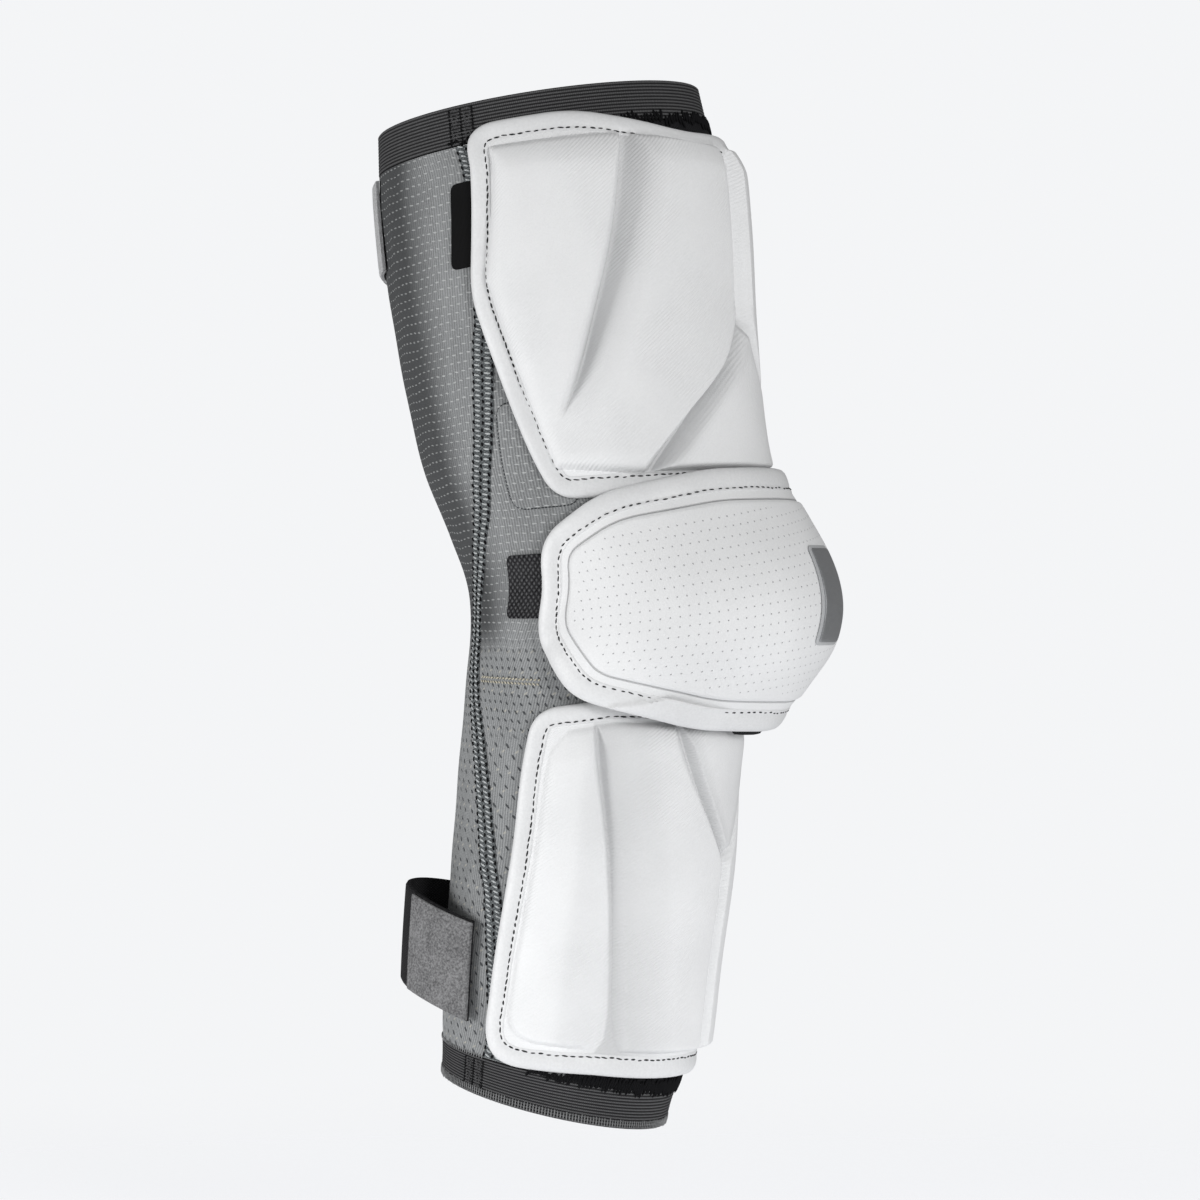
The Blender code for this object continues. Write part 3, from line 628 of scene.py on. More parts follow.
forearm = {
    "outline": (
        (0.0, -32.0, 0.0), (50.0, -33.5, 60.0), (76.0, -38.5, 11.0), (79.5, -163.5, 16.0),
        (40.0, -160.0, 60.0), (0.0, -159.3, 0.0),
    ),
    "corners": (2, 3),
    "grid": (240, 160),
    "columns": (0.0, 0.08, 0.16, 0.18, 0.23, 0.44, 0.56, 0.59, 0.66, 1.0),
    "floor": 1.0,
    "base": 3.2,
    "lift": 5.8,
    "field": (
        (0.0, -40.0, 12.0, 0.2), (50.0, -41.5, 17.0, 0.15), (63.0, -45.0, 10.0, 0.25),
        (67.5, -52.0, 6.0, 0.45), (71.0, -142.0, 5.0, 0.6), (69.8, -147.5, 5.0, 0.6),
        (66.5, -151.0, 4.0, 0.6), (61.0, -152.6, 3.5, 0.6), (0.0, -151.0, 0.0, 0.0),
    ),
    "grooves": (
        (
            (-156.0, 37.0, 5.5, 2.6, 4.0, 1.0), (-151.5, 37.1, 3.6, 2.6, 4.0, 1.0),
            (-148.5, 37.4, 1.8, 2.4, 5.0, 1.0), (-145.0, 37.8, 1.2, 2.2, 5.0, 1.0),
            (-139.0, 38.4, 0.5, 2.0, 5.0, 1.0), (-120.0, 40.3, 0.4, 2.0, 5.0, 1.0),
            (-93.0, 44.6, 0.4, 2.0, 5.0, 1.0), (-66.0, 49.2, 0.4, 2.0, 5.0, 0.95),
            (-40.0, 55.0, 0.5, 2.2, 5.0, 0.9),
        ),
        (
            (-88.0, 0.5, 1.0, 3.0, 3.0, 0.9), (-78.0, 6.5, 0.5, 4.0, 3.5, 0.9),
            (-57.0, 19.5, 0.5, 5.0, 3.5, 0.9), (-38.0, 30.0, 0.5, 5.0, 3.5, 1.0),
        ),
    ),
    "centre": (1.6, 3.0, -84.0),
    "paintedShadeReach": (19.0, 7.0),
    "creases": (
        {
            "line": ((-165.0, 53.8), (-100.0, 54.8), (-36.0, 55.6)),
            "side": -1.0, "slope": 0.46, "fade": 12.0, "stops": True,
        },
        {
            "line": ((-165.0, 53.8), (-100.0, 54.8), (-36.0, 55.6)),
            "side": 1.0, "slope": 0.2, "fade": 12.0, "stops": False,
        },
        {
            "line": ((-165.0, 23.0), (-120.0, 26.5), (-90.0, 31.0), (-36.0, 43.0)),
            "side": 1.0, "slope": 0.27, "fade": 14.0, "stops": True,
        },
    ),
    "stitchInset": 6.0,
}
elbow = {
    "outline": (
        (0.0, 38.5, 0.0), (30.0, 38.5, 90.0), (62.0, 34.0, 40.0), (84.0, 20.0, 19.0),
        (83.5, -12.0, 26.0), (62.0, -34.0, 25.0), (28.0, -42.5, 60.0), (0.0, -43.0, 0.0),
    ),
    "corners": (3, 5),
    "grid": (200, 110),
    "crown": (
        (-44.0, 16.5), (-36.0, 20.5), (-29.0, 24.6), (-18.0, 29.4), (-8.0, 29.6), (3.0, 27.0),
        (14.0, 23.0), (24.0, 18.3), (33.0, 14.0), (40.0, 12.8),
    ),
    "rim": ((0.0, 13.0), (30.0, 12.4), (57.0, 9.4), (70.0, 7.2), (86.0, 5.4)),
    "reach": 76.0,
    "power": 2.3,
    "wall": 3.0,
    "panelInset": 9.9,
    "panelStep": 1.0,
    "panelEdge": 0.7,
    "stitchInset": 6.2,
    "overlap": {"start": 156.0, "slant": 1.8, "length": 7.0, "rise": 2.0},
}


def mouldedLevel(cap, around, height):
    side = np.abs(around)
    share = fieldShare(cap["field"], side, height)
    for rows in cap["grooves"]:
        share = softMin(share, grooveShare(rows, side, height), creaseBlend)
    share = softMin(share, centreShare(cap["centre"], side, height), creaseBlend)
    fall = creaseFall(cap["creases"], cap["grooves"][0], side, height)
    return cap["base"] + np.maximum(cap["lift"] * share - fall * share, 0.0)


def domeLevel(around, height):
    side = np.abs(around)
    rim = readRows(elbow["rim"], side)[0]
    crown = readRows(elbow["crown"], height)[0]
    arch = np.maximum(0.0, 1.0 - (side / elbow["reach"]) ** elbow["power"])
    return rim + (crown - elbow["rim"][0][1]) * arch


# Finishes.

def whiteShell(name, twill, perforated=False):
    material, tree, shader, flat, solid = newMaterial(name, specular=0.3)
    tone = placeGroup(tree, "mottle", solid, slowScale=30.0, fineScale=1400.0, fineShare=0.35)
    colour = blendColour(tree, ramp(tree, tone, 0.3, 0.7), (0.76, 0.765, 0.77), (0.82, 0.825, 0.83))
    feed(tree, shader.inputs["Roughness"], ramp(tree, tone, 0.3, 0.7, 0.62, 0.5))
    lines = placeGroup(tree, "threadWaves", flat, pitch=1.0, slant=0.72)
    patches = ramp(tree, noiseNode(tree, solid, 22.0, 1.0), 0.42, 0.58, 0.25, 1.0)
    addBump(tree, shader, times(tree, lines, patches), twill)
    addBump(tree, shader, noiseNode(tree, solid, 2000.0), 0.09)
    if perforated:
        turned = mapPlace(tree, flat, "Rotation", (0.0, 0.0, math.radians(7.0)))
        holes = placeGroup(tree, "dashGrid", turned, stepAcross=3.2, stepUp=3.2, length=0.52, width=0.52)
        edge = readAttribute(tree, "edge")
        holes = times(tree, holes, ramp(tree, edge, 12.0, 12.6))
        # painted shadow: a thin dark line along the raised panel's step, as shade in a seam there, with a
        # bumped groove
        line = mathNode(tree, "SUBTRACT", ramp(tree, edge, 9.2, 9.6), ramp(tree, edge, 9.6, 10.0))
        colour = blendColour(tree, times(tree, line, 0.75), colour, (0.40, 0.405, 0.41))
        addBump(tree, shader, flip(tree, line), 0.4)
        paint(tree, shader, times(tree, holes, 0.7), colour, (0.27, 0.275, 0.28))
        addBump(tree, shader, flip(tree, holes), 0.2)
    else:
        # painted shade: the white darkens towards dark grey in the bottom of each groove and over the lobe in
        # front of it
        paintedGrooveShade = times(tree, readAttribute(tree, "paintedGrooveShade"), 0.34)
        paint(tree, shader, paintedGrooveShade, colour, (0.26, 0.262, 0.265))
    return material


def whiteBinding():
    material, tree, shader, flat, solid = newMaterial("white edge tape")
    tone = placeGroup(tree, "mottle", solid, slowScale=45.0, fineScale=1100.0, fineShare=0.5)
    paint(tree, shader, ramp(tree, tone, 0.3, 0.7), (0.68, 0.685, 0.69), (0.75, 0.755, 0.76))
    feed(tree, shader.inputs["Roughness"], ramp(tree, tone, 0.3, 0.7, 0.55, 0.42))
    addBump(tree, shader, noiseNode(tree, solid, 380.0, 3.0), 0.12)
    addBump(tree, shader, noiseNode(tree, solid, 2400.0), 0.03)
    return material


def threadFinish(name, colour, roughness=0.6):
    material, tree, shader, flat, solid = newMaterial(name, roughness, 0.15)
    tone = noiseNode(tree, solid, 3000.0)
    paint(tree, shader, ramp(tree, tone, 0.35, 0.65), tuple(0.6 * value for value in colour), colour)
    addBump(tree, shader, tone, 0.05)
    return material


def knitFinish():
    material, tree, shader, flat, solid = newMaterial("grey knit", 0.85, 0.25)
    height = splitPlace(tree, flat)[1]
    ribs = placeGroup(tree, "threadWaves", flat, pitch=1.05, slant=math.pi / 2.0, sway=0.5)
    cross = placeGroup(tree, "threadWaves", flat, pitch=0.55, slant=0.0, sway=0.3)
    tone = placeGroup(tree, "mottle", solid, slowScale=28.0, fineScale=1500.0, fineShare=0.5)
    lower = ramp(tree, height, -8.0, -24.0)  # the airy lower half
    upper = flip(tree, lower)
    # painted shade: the upper knit darkens towards the back of the sleeve, which turns away from the light
    back = times(tree, ramp(tree, readAttribute(tree, "turn"), 68.0, 48.0), upper)
    stripes = mapPlace(tree, flat, "Scale", (0.16, 0.012, 1.0))
    slow = ramp(tree, noiseNode(tree, stripes, 1.0, 3.0), 0.3, 0.7)
    base = blendColour(tree, ramp(tree, tone, 0.25, 0.75), (0.21, 0.216, 0.218), (0.39, 0.398, 0.402))
    base = blendColour(tree, times(tree, ribs, 0.6), base, (0.09, 0.095, 0.098))
    base = blendColour(tree, times(tree, slow, 0.45), base, (0.30, 0.31, 0.315))
    base = blendColour(tree, times(tree, back, 0.92), base, (0.05, 0.052, 0.054))
    drift = tree.nodes.new("ShaderNodeVectorMath")  # the rows of dashes wander a little
    drift.operation = "MULTIPLY_ADD"
    drift.inputs[1].default_value = (2.5, 3.0, 0.0)
    tree.links.new(noiseNode(tree, flat, 0.07).node.outputs["Color"], drift.inputs[0])
    tree.links.new(flat, drift.inputs[2])
    labels = ("stepAcross", "stepUp", "rowShift", "length", "width", "tilt")
    light, close, wide, cream = [
        placeGroup(tree, "dashGrid", drift.outputs[0], **dict(zip(labels, sizes)))
        for sizes in (
            (3.1, 2.9, 0.37, 1.9, 0.62, 0.12), (3.0, 3.1, 0.45, 1.8, 0.66, 0.75),
            (5.2, 3.5, 0.41, 2.2, 0.8, 0.75), (5.2, 7.0, 0.3, 1.6, 0.8, -0.7),
        )
    ]
    light = times(tree, light, upper)
    sparse = ramp(tree, height, -44.0, -52.0)
    holes = timesPlus(tree, wide, sparse, times(tree, close, flip(tree, sparse)))
    holes = times(tree, holes, lower)
    # the light dashes are dimmed where the painted back shade falls
    shown = times(tree, light, timesPlus(tree, back, -0.35, 0.85))
    base = blendColour(tree, shown, base, (0.47, 0.48, 0.48))
    base = blendColour(tree, times(tree, times(tree, cream, lower), 0.6), base, (0.48, 0.46, 0.40))
    paint(tree, shader, times(tree, holes, 0.85), base, (0.035, 0.04, 0.045))
    addBump(tree, shader, times(tree, ribs, cross), 0.12)
    addBump(tree, shader, light, 0.12)
    addBump(tree, shader, flip(tree, holes), 0.35)
    return material


def weaveFinish(name, dark, light, pitch, depth=0.15, slant=0.6, roughness=0.8):
    material, tree, shader, flat, solid = newMaterial(name, roughness, 0.15)
    first, second = [
        placeGroup(tree, "threadWaves", flat, pitch=pitch, slant=lean, sway=0.15) for lean in (slant, -slant)
    ]
    weave = times(tree, first, second)
    tone = placeGroup(tree, "mottle", solid, slowScale=40.0, fineScale=1800.0, fineShare=0.6)
    paint(tree, shader, timesPlus(tree, weave, 0.7, timesPlus(tree, tone, 0.8, -0.35)), dark, light)
    addBump(tree, shader, weave, depth)
    return material


def cuffFinish(name, pitch):  # painted shade and highlight on the ribs: the unrolled height starts a quarter rib up, so the painted dark bands fall in the furrows
    material, tree, shader, flat, solid = newMaterial(name, 0.85, 0.2)
    ribs = placeGroup(tree, "threadWaves", flat, pitch=pitch)
    twist = placeGroup(tree, "threadWaves", flat, pitch=0.62, slant=1.15, sway=0.2)
    tone = placeGroup(tree, "mottle", solid, slowScale=40.0, fineScale=1800.0, fineShare=0.6)
    share = times(tree, ribs, timesPlus(tree, twist, 0.55, 0.45))
    share = times(tree, share, timesPlus(tree, tone, 0.8, 0.6))
    # painted shade in the rib furrows and painted highlight on the rib crests, broken by the twist and the
    # tone
    paint(tree, shader, share, (0.012, 0.012, 0.013), (0.13, 0.13, 0.133))
    addBump(tree, shader, twist, 0.12)
    return material


def fuzzFinish(name, dark, light, scale, depth, sheen=0.0):
    material, tree, shader, flat, solid = newMaterial(name, 0.95, 0.2)
    loops = noiseNode(tree, solid, scale, 4.0, 0.65)
    share = timesPlus(tree, ramp(tree, loops, 0.3, 0.7), 0.7, -0.2)
    share = timesPlus(tree, noiseNode(tree, solid, 120.0), 0.5, share, limit=True)
    paint(tree, shader, share, dark, light)
    shader.inputs["Sheen Weight"].default_value = sheen
    addBump(tree, shader, loops, depth)
    return material


def pewterFinish(name, dark, light, metal):
    material, tree, shader, flat, solid = newMaterial(name)
    grain = noiseNode(tree, mapPlace(tree, solid, "Scale", (400.0, 400.0, 6000.0)), 1.0)
    paint(tree, shader, grain, dark, light)
    shader.inputs["Metallic"].default_value = metal
    feed(tree, shader.inputs["Roughness"], ramp(tree, grain, 0.2, 0.8, 0.28, 0.42))
    addBump(tree, shader, grain, 0.01)
    return material


finishes = {
    "cap": whiteShell("white moulded shell", 0.1),
    "dome": whiteShell("white perforated shell", 0.02, perforated=True),
    "binding": whiteBinding(),
    "darkThread": threadFinish("dark thread", (0.03, 0.03, 0.032)),
    "seamThread": threadFinish("seam thread", (0.60, 0.625, 0.63), 0.85),
    "greyThread": threadFinish("grey thread", (0.24, 0.243, 0.245), 0.8),
    "creamThread": threadFinish("cream thread", (0.62, 0.58, 0.47), 0.8),
    "seamEdge": threadFinish("slate thread", (0.07, 0.075, 0.08), 0.85),
    "blackThread": threadFinish("black thread", (0.006, 0.006, 0.007), 0.9),
    "cuffThread": threadFinish("charcoal thread", (0.085, 0.085, 0.088), 0.8),
    "knit": knitFinish(),
    "seamTape": weaveFinish("dark seam tape", (0.07, 0.077, 0.08), (0.24, 0.255, 0.262), 0.9),
    "backing": weaveFinish("black backing", (0.006, 0.006, 0.007), (0.022, 0.022, 0.024), 0.9),
    "upperCuff": cuffFinish("charcoal elastic", 13.8 / 12),
    "lowerCuff": cuffFinish("fine charcoal elastic", 13.8 / 14),
    "strap": weaveFinish("black elastic", (0.008, 0.008, 0.009), (0.04, 0.04, 0.042), 0.8),
    "webbing": weaveFinish("black webbing", (0.002, 0.002, 0.003), (0.15, 0.15, 0.156), 1.5, 0.4, 0.9),
    "loopTape": fuzzFinish("light loop tape", (0.36, 0.365, 0.37), (0.62, 0.625, 0.63), 1500.0, 0.6, 0.2),
    "hookTape": fuzzFinish("grey hook tape", (0.075, 0.075, 0.077), (0.32, 0.32, 0.325), 1250.0, 0.45, 0.1),
    "foam": fuzzFinish("black foam", (0.006, 0.006, 0.007), (0.02, 0.02, 0.021), 900.0, 0.2),
    "tag": weaveFinish("black satin tag", (0.002, 0.002, 0.002), (0.008, 0.008, 0.009), 0.5, 0.03, 1.57, 0.9),
    "pewter": pewterFinish("pewter", (0.26, 0.265, 0.275), (0.42, 0.43, 0.44), 0.7),
    "pewterRim": pewterFinish("bright pewter", (0.48, 0.49, 0.50), (0.62, 0.63, 0.64), 0.3),
}
print("finishes made")


# Pieces.

def addCap(name, cap, node, slot):
    place = alongGrooves(cap, outlinePlace(cap, shellInset))

    def cell(x, y, side):
        around, height = place(x, y)
        level = mouldedLevel(cap, around, height) if side else np.full(len(x), cap["floor"])
        return around, height, level

    piece = bentSheet(
        name, cap["grid"], cell, finishes["cap"],
        # the painted groove shade, kept on the shell's points
        attribute=("paintedGrooveShade", lambda around, height: paintedShadeMask(cap, around, height)),
        replaces=(node,), slot=slot,
    )


# Across the rolled edge: distance from the outline, share of the height, rise above it.
edgeTape = {
    "section": (
        (0.5, 0.0, 0.0), (0.05, 0.3, 0.0), (0.0, 0.62, 0.0), (0.35, 0.92, 0.15),
        (1.1, 1.0, 0.55), (2.2, 1.0, 0.82), (3.4, 1.0, 0.82), (4.6, 1.0, 0.62),
        (5.4, 1.0, 0.34), (6.0, 1.0, 0.14), (6.5, 1.0, 0.30), (6.9, 1.0, 0.28),
        (7.15, 1.0, 0.02), (6.9, 1.0, -0.3), (4.7, 1.0, -0.3), (4.4, 0.0, 0.0),
    ),
    "step": 1.1,
    "climb": 1.2,
    "lapEdge": 0.9,
    "lapFade": 18.0,
}


def addBinding(name, cap, floorAt, levelAt, node, overlap=None):
    section = np.array(edgeTape["section"] + edgeTape["section"][:1])
    outline, length = wholeOutline(cap, edgeTape["step"])
    steps = len(outline)

    def pointAt(run, turn):
        step = np.round(run * steps).astype(int) % steps
        row = np.round(turn * (len(section) - 1)).astype(int)
        inset, share, rise = section[row].T
        flat = np.empty((len(run), 2))
        for value in np.unique(inset):
            chosen = inset == value
            flat[chosen] = insetWhole(outline, value)[step[chosen]]
        floor, level = floorAt(flat[:, 0], flat[:, 1]), levelAt(flat[:, 0], flat[:, 1])
        height = floor + share * (level - floor) + rise
        if overlap:
            past = run * length - overlap["start"] - overlap["slant"] * inset
            fade = smoothStep((past - overlap["length"]) / edgeTape["lapFade"])
            lap = smoothStep(past / edgeTape["lapEdge"]) * (1.0 - fade)
            height = height + overlap["rise"] * lap * (share > 0.5)
        points = planPoint(flat[:, 0], flat[:, 1], height)
        return points, np.stack((run * length, inset), 1)

    return closedTube(
        name, steps, len(section) - 1, pointAt, finishes["binding"],
        replaces=(node,), slot="white_binding", crease=60.0,
    )


def surfaceFrame(around, height, level, runAround, runHeight):
    here = planPoint(around, height, level)
    there = planPoint(around + 0.2 * runAround, height + 0.2 * runHeight, level)
    above = planPoint(around, height, level + 1.0)
    return here, there - here, above - here


# The stitches beside the edge tapes: each is a little out of line, slanted and uneven.
stitches = {"thickness": 0.62, "rise": 0.2, "wave": 0.12, "sway": 0.3, "slant": 0.35}


def edgeStitches(name, cap, levelAt, pitch=2.5, length=2.1):
    outline, _ = wholeOutline(cap, 0.5)
    line = insetWhole(outline, cap["stitchInset"])
    lengths = runLengths(line)
    threads = []
    marks = np.arange(0.5 * pitch, lengths[-1], pitch)
    for place, change, turn in zip(marks, scatter(11.0, len(marks)), scatter(13.0, len(marks))):
        index = int(np.searchsorted(lengths, place))
        after = line[(index + 1) % len(line)]
        run = after - line[index - 1]
        run /= np.linalg.norm(run)
        sway = stitches["wave"] * math.sin(2.3 * place) + stitches["sway"] * (turn - 0.5)
        around, height = line[index] + sway * np.array((run[1], -run[0]))
        level = float(levelAt(np.array([around]), np.array([height]))[0]) + stitches["rise"]
        slant = stitches["slant"] * (change - 0.5)
        turned = run + slant * np.array((-run[1], run[0]))
        here, along, up = surfaceFrame(around, height, level, *turned)
        thickness = stitches["thickness"] * (0.85 + 0.4 * turn)
        threads.append((here, along, up, length * (0.75 + 0.4 * change), thickness))
    return layThreads(name, threads, finishes["darkThread"])


addCap("bicep_shell", bicep, "bicep_cap", "white_moulded_cap")
addCap("forearm_shell", forearm, "forearm_cap", "white_moulded_cap")
for place, cap in (("bicep", bicep), ("forearm", forearm)):
    def sheetLevel(around, height, cap=cap):
        return np.minimum(mouldedLevel(cap, around, height), cap["base"] + edgeTape["climb"])

    def sheetFloor(around, height, cap=cap):
        return np.full(len(around), cap["floor"])

    addBinding(place + "_edge_tape", cap, sheetFloor, sheetLevel, place + "_binding")
    edgeStitches(place + "_stitches", cap, sheetLevel)


def domeSpread(around, height):  # lengths along the domed shell itself
    share = np.linspace(0.0, 1.0, 25)
    level = domeLevel(around[:, None] * share, height[:, None] + 0.0 * share)
    across = around * (1.0 + level.mean(1) / meanRadius(height))
    rows = np.linspace(elbow["crown"][0][0], elbow["crown"][-1][0], 85)
    slope = np.gradient(readRows(elbow["crown"], rows)[0], rows)
    return across, np.interp(height, rows, np.cumsum(np.hypot(1.0, slope)))


def addDome():
    place = outlinePlace(elbow, shellInset)

    def cell(x, y, side):
        around, height = place(closerEdges(x), closerEdges(y))
        level = domeLevel(around, height)
        if side:
            distance = edgeDistance(elbow, around, height)
            raised = smoothStep((distance - elbow["panelInset"]) / elbow["panelEdge"])
            level = level + elbow["panelStep"] * raised
        else:
            level = level - elbow["wall"]
        return around, height, level

    bentSheet(
        "elbow_dome", elbow["grid"], cell, finishes["dome"],
        attribute=("edge", lambda around, height: edgeDistance(elbow, around, height)),
        spread=domeSpread, replaces=("elbow_cap",), slot="white_perforated_cap",
    )
    addBinding(
        "elbow_edge_tape", elbow, lambda around, height: domeLevel(around, height) - elbow["wall"],
        domeLevel, "elbow_binding", overlap=elbow["overlap"],
    )
    edgeStitches("elbow_stitches", elbow, domeLevel, pitch=2.4, length=1.9)


addDome()

pad = {
    "inset": 9.0,
    "gap": 0.9,
    "grid": (60, 40),
    "floor": 1.0,
    # the under side's steps: height, run, rise at the front and rise at the sides
    "steps": ((26.0, 5.0, 4.8, 4.8), (-26.0, 6.0, 4.8, 4.8), (-37.0, 5.0, 5.0, 0.0)),
    "side": 60.0,
    "tongue": {"drop": 10.3, "width": 8.0, "fade": 10.0, "start": -16.0, "run": 18.0},
}


def addElbowPad():
    place = outlinePlace(elbow, pad["inset"])
    tongue = pad["tongue"]

    def cell(x, y, side):
        around, height = place(x, y)
        share = 1.0 - smoothStep((np.abs(around) - tongue["width"]) / tongue["fade"])
        height = height - tongue["drop"] * share * smoothStep((tongue["start"] - height) / tongue["run"])
        if side:
            level = domeLevel(around, height) - elbow["wall"] - pad["gap"]
        else:
            level = np.full(len(x), pad["floor"])
            share = clamp(np.abs(around) / pad["side"])
            for start, run, frontLift, sideLift in pad["steps"]:
                past = math.copysign(1.0, start) * (height - start)
                level = level + smoothStep(past / run) * (frontLift + share * (sideLift - frontLift))
        return around, height, level

    piece = bentSheet(
        "elbow_foam", pad["grid"], cell, finishes["foam"], replaces=("elbow_pad",), slot="black_foam"
    )


addElbowPad()

badge = {
    "outline": ((0.0, 14.6, 0.0), (6.4, 14.6, 2.2), (6.4, -15.4, 2.2), (0.0, -15.4, 0.0)),
    "corners": (1, 2),
    "grid": (24, 44),
    "edge": 0.14,
    "edgeDrop": 0.35,
    # name, inset, lowest and highest level over the dome, finish
    "layers": (
        ("badge_plate", 0.0, 0.35, 0.8, "pewterRim"),
        ("badge_bar", 0.9, 0.8, 1.3, "pewter"),
    ),
}


def addBadge():
    for name, inset, low, high, finish in badge["layers"]:
        place = outlinePlace(badge, inset)

        def cell(x, y, side):
            around, height = place(x, y)
            base = domeLevel(around, height) + elbow["panelStep"]
            drop = badge["edgeDrop"] * (high - low) * roundDrop(fromRim(x, y) / badge["edge"])
            return around, height, base + (high - drop if side else low)

        piece = bentSheet(name, badge["grid"], cell, finishes[finish], slot="pewter_badge")
        if finish == "pewter":
            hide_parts("elbow_badge")


addBadge()

cloth = {
    "top": 157.3,
    "bottom": -162.3,
    "wall": 1.8,
    "panelAngle": 66.0,
    "seamGap": 0.4,
    "sleeveGrid": (150, 190),
    "panelGrid": (60, 160),
    "foldsFrom": 70.0,
    "hem": 12.0,
}


def turnFromBack(around, height):  # degrees away from the back line of the sleeve
    return np.abs(np.degrees(around / meanRadius(height)) - 180.0)


def addSleeve():
    edge = math.radians(cloth["panelAngle"])

    def cell(x, y, side):
        height = between(y, cloth["bottom"], cloth["top"])
        angle = math.pi + x * (math.pi - edge)
        around = angle * meanRadius(height)
        ripple = 0.14 * np.sin(0.21 * height + 2.0 * np.sin(1.3 * angle)) * np.sin(2.0 * angle)
        folds = 0.4 * np.sin(13.0 * angle + 0.02 * height) + 0.25 * np.sin(29.0 * angle)
        ripple = ripple + folds * smoothStep((height - cloth["foldsFrom"]) / cloth["foldsFrom"])
        ripple = ripple * smoothStep((cloth["top"] - height) / cloth["hem"])
        ripple = ripple * smoothStep((height - cloth["bottom"]) / cloth["hem"])
        return around, height, ripple - (0.0 if side else cloth["wall"])

    piece = bentSheet(
        "knit_sleeve", cloth["sleeveGrid"], cell, finishes["knit"],
        attribute=("turn", turnFromBack), replaces=("sleeve",), slot="grey_knit",
    )


def addFrontPanel():
    def cell(x, y, side):
        height = between(y, cloth["bottom"], cloth["top"])
        reach = math.radians(cloth["panelAngle"]) * meanRadius(height) - cloth["seamGap"]
        return x * reach, height, np.full(len(x), 0.0 if side else -cloth["wall"])

    piece = bentSheet(
        "backing_panel", cloth["panelGrid"], cell, finishes["backing"],
        replaces=("front_panel",), slot="black_backing",
    )


addSleeve()
addFrontPanel()

cuffs = {
    "upper": {"low": 157.7, "high": 171.5, "ribs": 12, "girth": 0.34},
    "lower": {"low": -176.5, "high": -162.7, "ribs": 14, "girth": 0.25},
    "wall": 2.1,
    "level": 0.2,
    "ribDepth": 0.38,
    "rowsPerRib": 8,
    "steps": 180,
}


def addCuff(name, size, node):
    outer = np.linspace(0.0, 1.0, size["ribs"] * cuffs["rowsPerRib"] + 1)
    furrow = (0.5 + 0.5 * np.cos(math.tau * outer * size["ribs"])) ** 2
    section = list(zip(outer, cuffs["level"] - cuffs["ribDepth"] * furrow))
    section += [(share, cuffs["level"] - cuffs["wall"]) for share in (1.0, 0.5, 0.0)]
    section = np.array(section + section[:1])

    def pointAt(run, turn):
        row = np.round(turn * (len(section) - 1)).astype(int)
        share, level = section[row].T
        height = size["low"] + share * (size["high"] - size["low"])
        angle = run * math.tau
        step = np.round(run * cuffs["steps"]) % cuffs["steps"]
        points = armPoint(step / cuffs["steps"] * math.tau, height, level)
        shift = 0.25 * (size["high"] - size["low"]) / size["ribs"]
        return points, np.stack((angle * meanRadius(height), height - size["low"] - shift), 1)

    piece = closedTube(
        name, cuffs["steps"], len(section) - 1, pointAt, finishes[name.split("_")[0] + "Cuff"],
        replaces=(node,), slot="cuff_elastic",
    )


addCuff("upper_elastic", cuffs["upper"], "upper_cuff")
addCuff("lower_elastic", cuffs["lower"], "lower_cuff")

straps = {
    "bicep": {
        "route": (
            (134.0, 0.3, 138.5), (150.0, 0.5, 139.5), (166.0, 1.3, 138.5), (190.0, 1.4, 134.5),
            (220.0, 1.0, 130.5), (247.0, 0.8, 128.5),
        ),
        "grid": (120, 36),
    },
    "forearm": {
        "route": (
            (113.0, 0.8, -133.0), (120.0, 2.4, -132.0), (134.0, 7.4, -129.0),
            (148.0, 12.6, -125.5), (160.0, 13.8, -123.5), (172.0, 10.8, -123.0),
            (190.0, 5.6, -124.5), (212.0, 2.0, -128.0), (248.0, 0.8, -131.0),
        ),
        "grid": (150, 40),
    },
    # name, route, ends in degrees, width, lift, wall, and the finish, node and slot
    "pieces": (
        ("upper_loop_strap", "bicep", 151.0, 247.0, 32.0, 0.0, 1.6,
         "loopTape", "bicep_strap", "light_loop_tape"),
        ("lower_strap", "forearm", 117.5, 248.0, 36.0, 0.0, 1.6,
         "strap", "forearm_strap", "black_elastic"),
        ("lower_strap_patch", "forearm", 116.5, 145.5, 35.0, 1.65, 1.2,
         "hookTape", "forearm_patch", "grey_hook_tape"),
    ),
    "edge": 1.2,
    "edgeDrop": 0.3,
}


def addStrap(name, route, start, end, width, lift, wall, finish, node, slot):
    strap = straps[route]

    def cell(x, y, side):
        angle = between(x, start, end)
        level, middle = readRows(strap["route"], angle)
        height = middle + 0.5 * y * width
        drop = straps["edgeDrop"] * wall * roundDrop(fromRim(x, y) * 0.5 * width / straps["edge"])
        rise = lift + (wall - drop if side else 0.0)
        return np.radians(angle) * meanRadius(height), height, level + rise

    bentSheet(name, strap["grid"], cell, finishes[finish], replaces=(node,), slot=slot)


for strapPiece in straps["pieces"]:
    addStrap(*strapPiece)

webbing = {
    "start": 78.0,
    "end": 98.5,
    "top": 15.5,
    "bottom": -7.0,
    "levels": (0.4, 1.9),
    "corner": 2.0,
    "edgeDrop": 0.4,
    "grid": (48, 48),
}



def tabHeight(tab, y, fromEnd):  # a tab's heights, and its half length where its outer corners are rounded
    half = 0.5 * (tab["top"] - tab["bottom"]) - tab["corner"] * roundDrop(fromEnd / tab["corner"])
    return 0.5 * (tab["top"] + tab["bottom"]) + y * half, half


